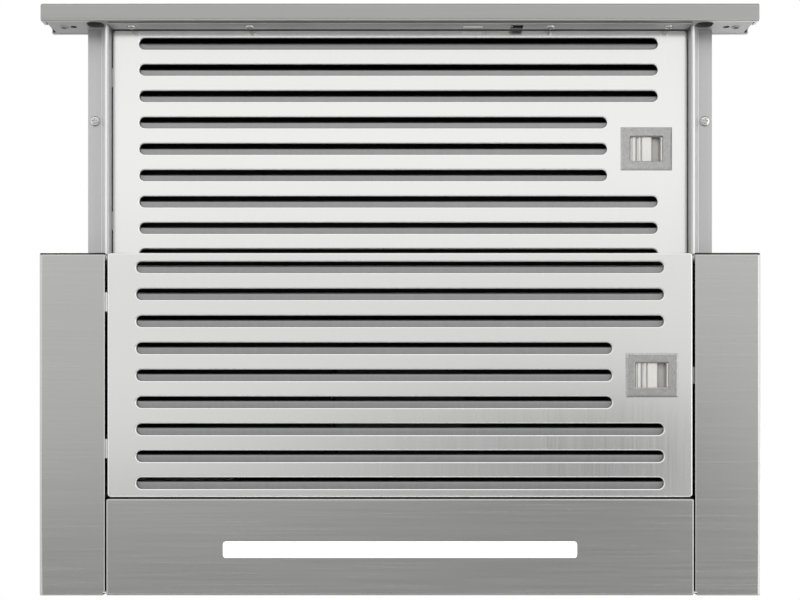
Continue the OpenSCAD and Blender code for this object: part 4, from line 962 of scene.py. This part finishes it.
def screw_tree():
    """Geometry Nodes for pan head screws on the points of a mesh, heads toward a facing vector."""
    tree, given, out = node_group("pan head screws", {
        "Points": "Geometry", "Diameter": "Float", "Head radius": "Float", "Grip": "Float",
        "Steel": "Material"}, {"Geometry": "Geometry"}, "GeometryNodeTree")
    core = 0.0001

    def at(away, up):
        """A point of the section: away from the axis and up from the underside of the head."""
        return point(tree, maths(tree, "SUBTRACT", away, core), share(tree, up, -1.0))

    d, head = given["Diameter"], given["Head radius"]
    top, shank, end = share(tree, d, 0.55), share(tree, d, 0.47), share(tree, given["Grip"], -1.0)
    brim, seat = at(share(tree, head, 0.98), 0.0003), at(share(tree, head, 0.93), 0.0)
    crown = bend(tree, 9, at(0.0, top), at(share(tree, head, 0.84), top), brim)
    edge = bend(tree, 3, brim, at(head, 0.0), seat)
    neck = straight(tree, seat, at(shank, 0.0))
    stem = straight(tree, at(shank, 0.0), at(shank, end))
    # every other ring of the stem lies deeper, as the thread does
    turns = add(tree, "GeometryNodeResampleCurve", {"Curve": stem, "Count": 21})
    odd = maths(tree, "MODULO", add(tree, "GeometryNodeInputIndex")[0], 2.0)
    deeper = share(tree, odd, share(tree, d, -0.05))
    thread = add(tree, "GeometryNodeSetPosition", {
        "Geometry": turns[0], "Offset": point(tree, deeper)})
    tip = straight(tree, at(shank, end), at(0.0, end))
    section = joined(tree, tip, thread[0], neck, edge, crown)
    path = add(tree, "GeometryNodeCurvePrimitiveCircle", {"Resolution": 28, "Radius": core})
    solid = add(tree, "GeometryNodeMergeByDistance", {
        "Geometry": swept(tree, upright(tree, path[0]), section), "Distance": 0.000005})
    long, wide, deep = share(tree, head, 1.2), share(tree, head, 0.32), share(tree, d, 0.7)
    wings = joined(tree, *(add(tree, "GeometryNodeMeshCube", {"Size": size})[0] for size in (
        point(tree, long, wide, deep), point(tree, wide, long, deep))))
    # the wings of the recess taper toward its floor
    place = add(tree, "GeometryNodeInputPosition")[0]
    up = add(tree, "ShaderNodeSeparateXYZ", {0: place})[2]
    narrow = maths(tree, "ADD", 0.82, share(tree, maths(tree, "DIVIDE", up, d), 0.55))
    tapered = vectors(tree, "MULTIPLY", place, point(tree, narrow, narrow, 1.0))[0]
    shaped = add(tree, "GeometryNodeSetPosition", {"Geometry": wings, "Position": tapered})
    raised = add(tree, "GeometryNodeTransform", {
        "Geometry": shaped[0], "Translation": point(tree, z=share(tree, d, 0.58))})
    cut = add(tree, "GeometryNodeMeshBoolean", {
        "Mesh 1": solid[0], "Mesh 2": raised[0], "Self Intersection": True},
        operation="DIFFERENCE", solver="EXACT")
    facing = add(tree, "GeometryNodeInputNamedAttribute", {"Name": "facing"},
                 data_type="FLOAT_VECTOR")
    turn = add(tree, "FunctionNodeAlignRotationToVector", {"Vector": facing[0]}, axis="Z")
    copies = add(tree, "GeometryNodeInstanceOnPoints", {
        "Points": given["Points"], "Instance": cut[0], "Rotation": turn[0]})
    hand_over(tree, out, copies[0], given["Steel"])
    return tree


pan_screws = screw_tree()
# head is the radius of a head over the diameter
usual = 0.0039
for name, body, diameter, head, grip, holes in (
        ("cover", "root", usual, 0.95, 0.0017,
         [((x * cover_case, y, 0.046), (x, 0, 0)) for x in (-1, 1) for y in (0, 0.1077, 0.2154)]),
        ("lamp", "root", usual, 0.95, 0.0018,
         [((x, 0.2444, 0.019), (0, -1, 0)) for x in (-0.19, 0, 0.19)]),
        ("collar", "root", usual, 0.95, 0.0055,
         [((x, y, 0.1825), (0, 0, 1)) for x, y in around(0, 0.1302, 0.0815, (45, 135, 225, 315))]),
        ("blower", "root", usual, 0.95, 0.0060,
         [((x, y, 0.180), (0, 0, 1)) for x in (-0.09, 0.09) for y in (0.0982, 0.1622)]),
        ("bracket", "root", 0.0034, 0.95, 0.0050,
         [((-0.0625, y, z), (-1, 0, 0)) for y, z in around(0.0882, 0.122, 0.0515, (30, 150, 270))]),
        ("visor", "visor", usual, 1.15, 0.0022,
         [((x, y, 0.029), (0, 0, -1)) for x in (-0.26, 0.26) for y in (-0.154, 0.0086)]),
        ("crossbar", "visor", usual, 0.95, 0.0052,
         [((x, -0.2302, 0.015), (0, 1, 0)) for x in (-0.226, -0.1265, 0.1265, 0.226)])):
    seats = bpy.data.meshes.new(name + " screw seats")
    seats.from_pydata([place for place, facing in holes], [], [])
    marks = seats.attributes.new("facing", "FLOAT_VECTOR", "POINT")
    for mark, (place, facing) in zip(marks.data, holes):
        mark.vector = facing
    form = grown(name + " screws", pan_screws, {
        "Diameter": diameter, "Head radius": head * diameter, "Grip": grip,
        "Steel": bright_steel}, seats)
    crisp(form, lambda f: True, 32)
    finished(form, name + "_screw_set", bright_steel, body, name + "_screws")
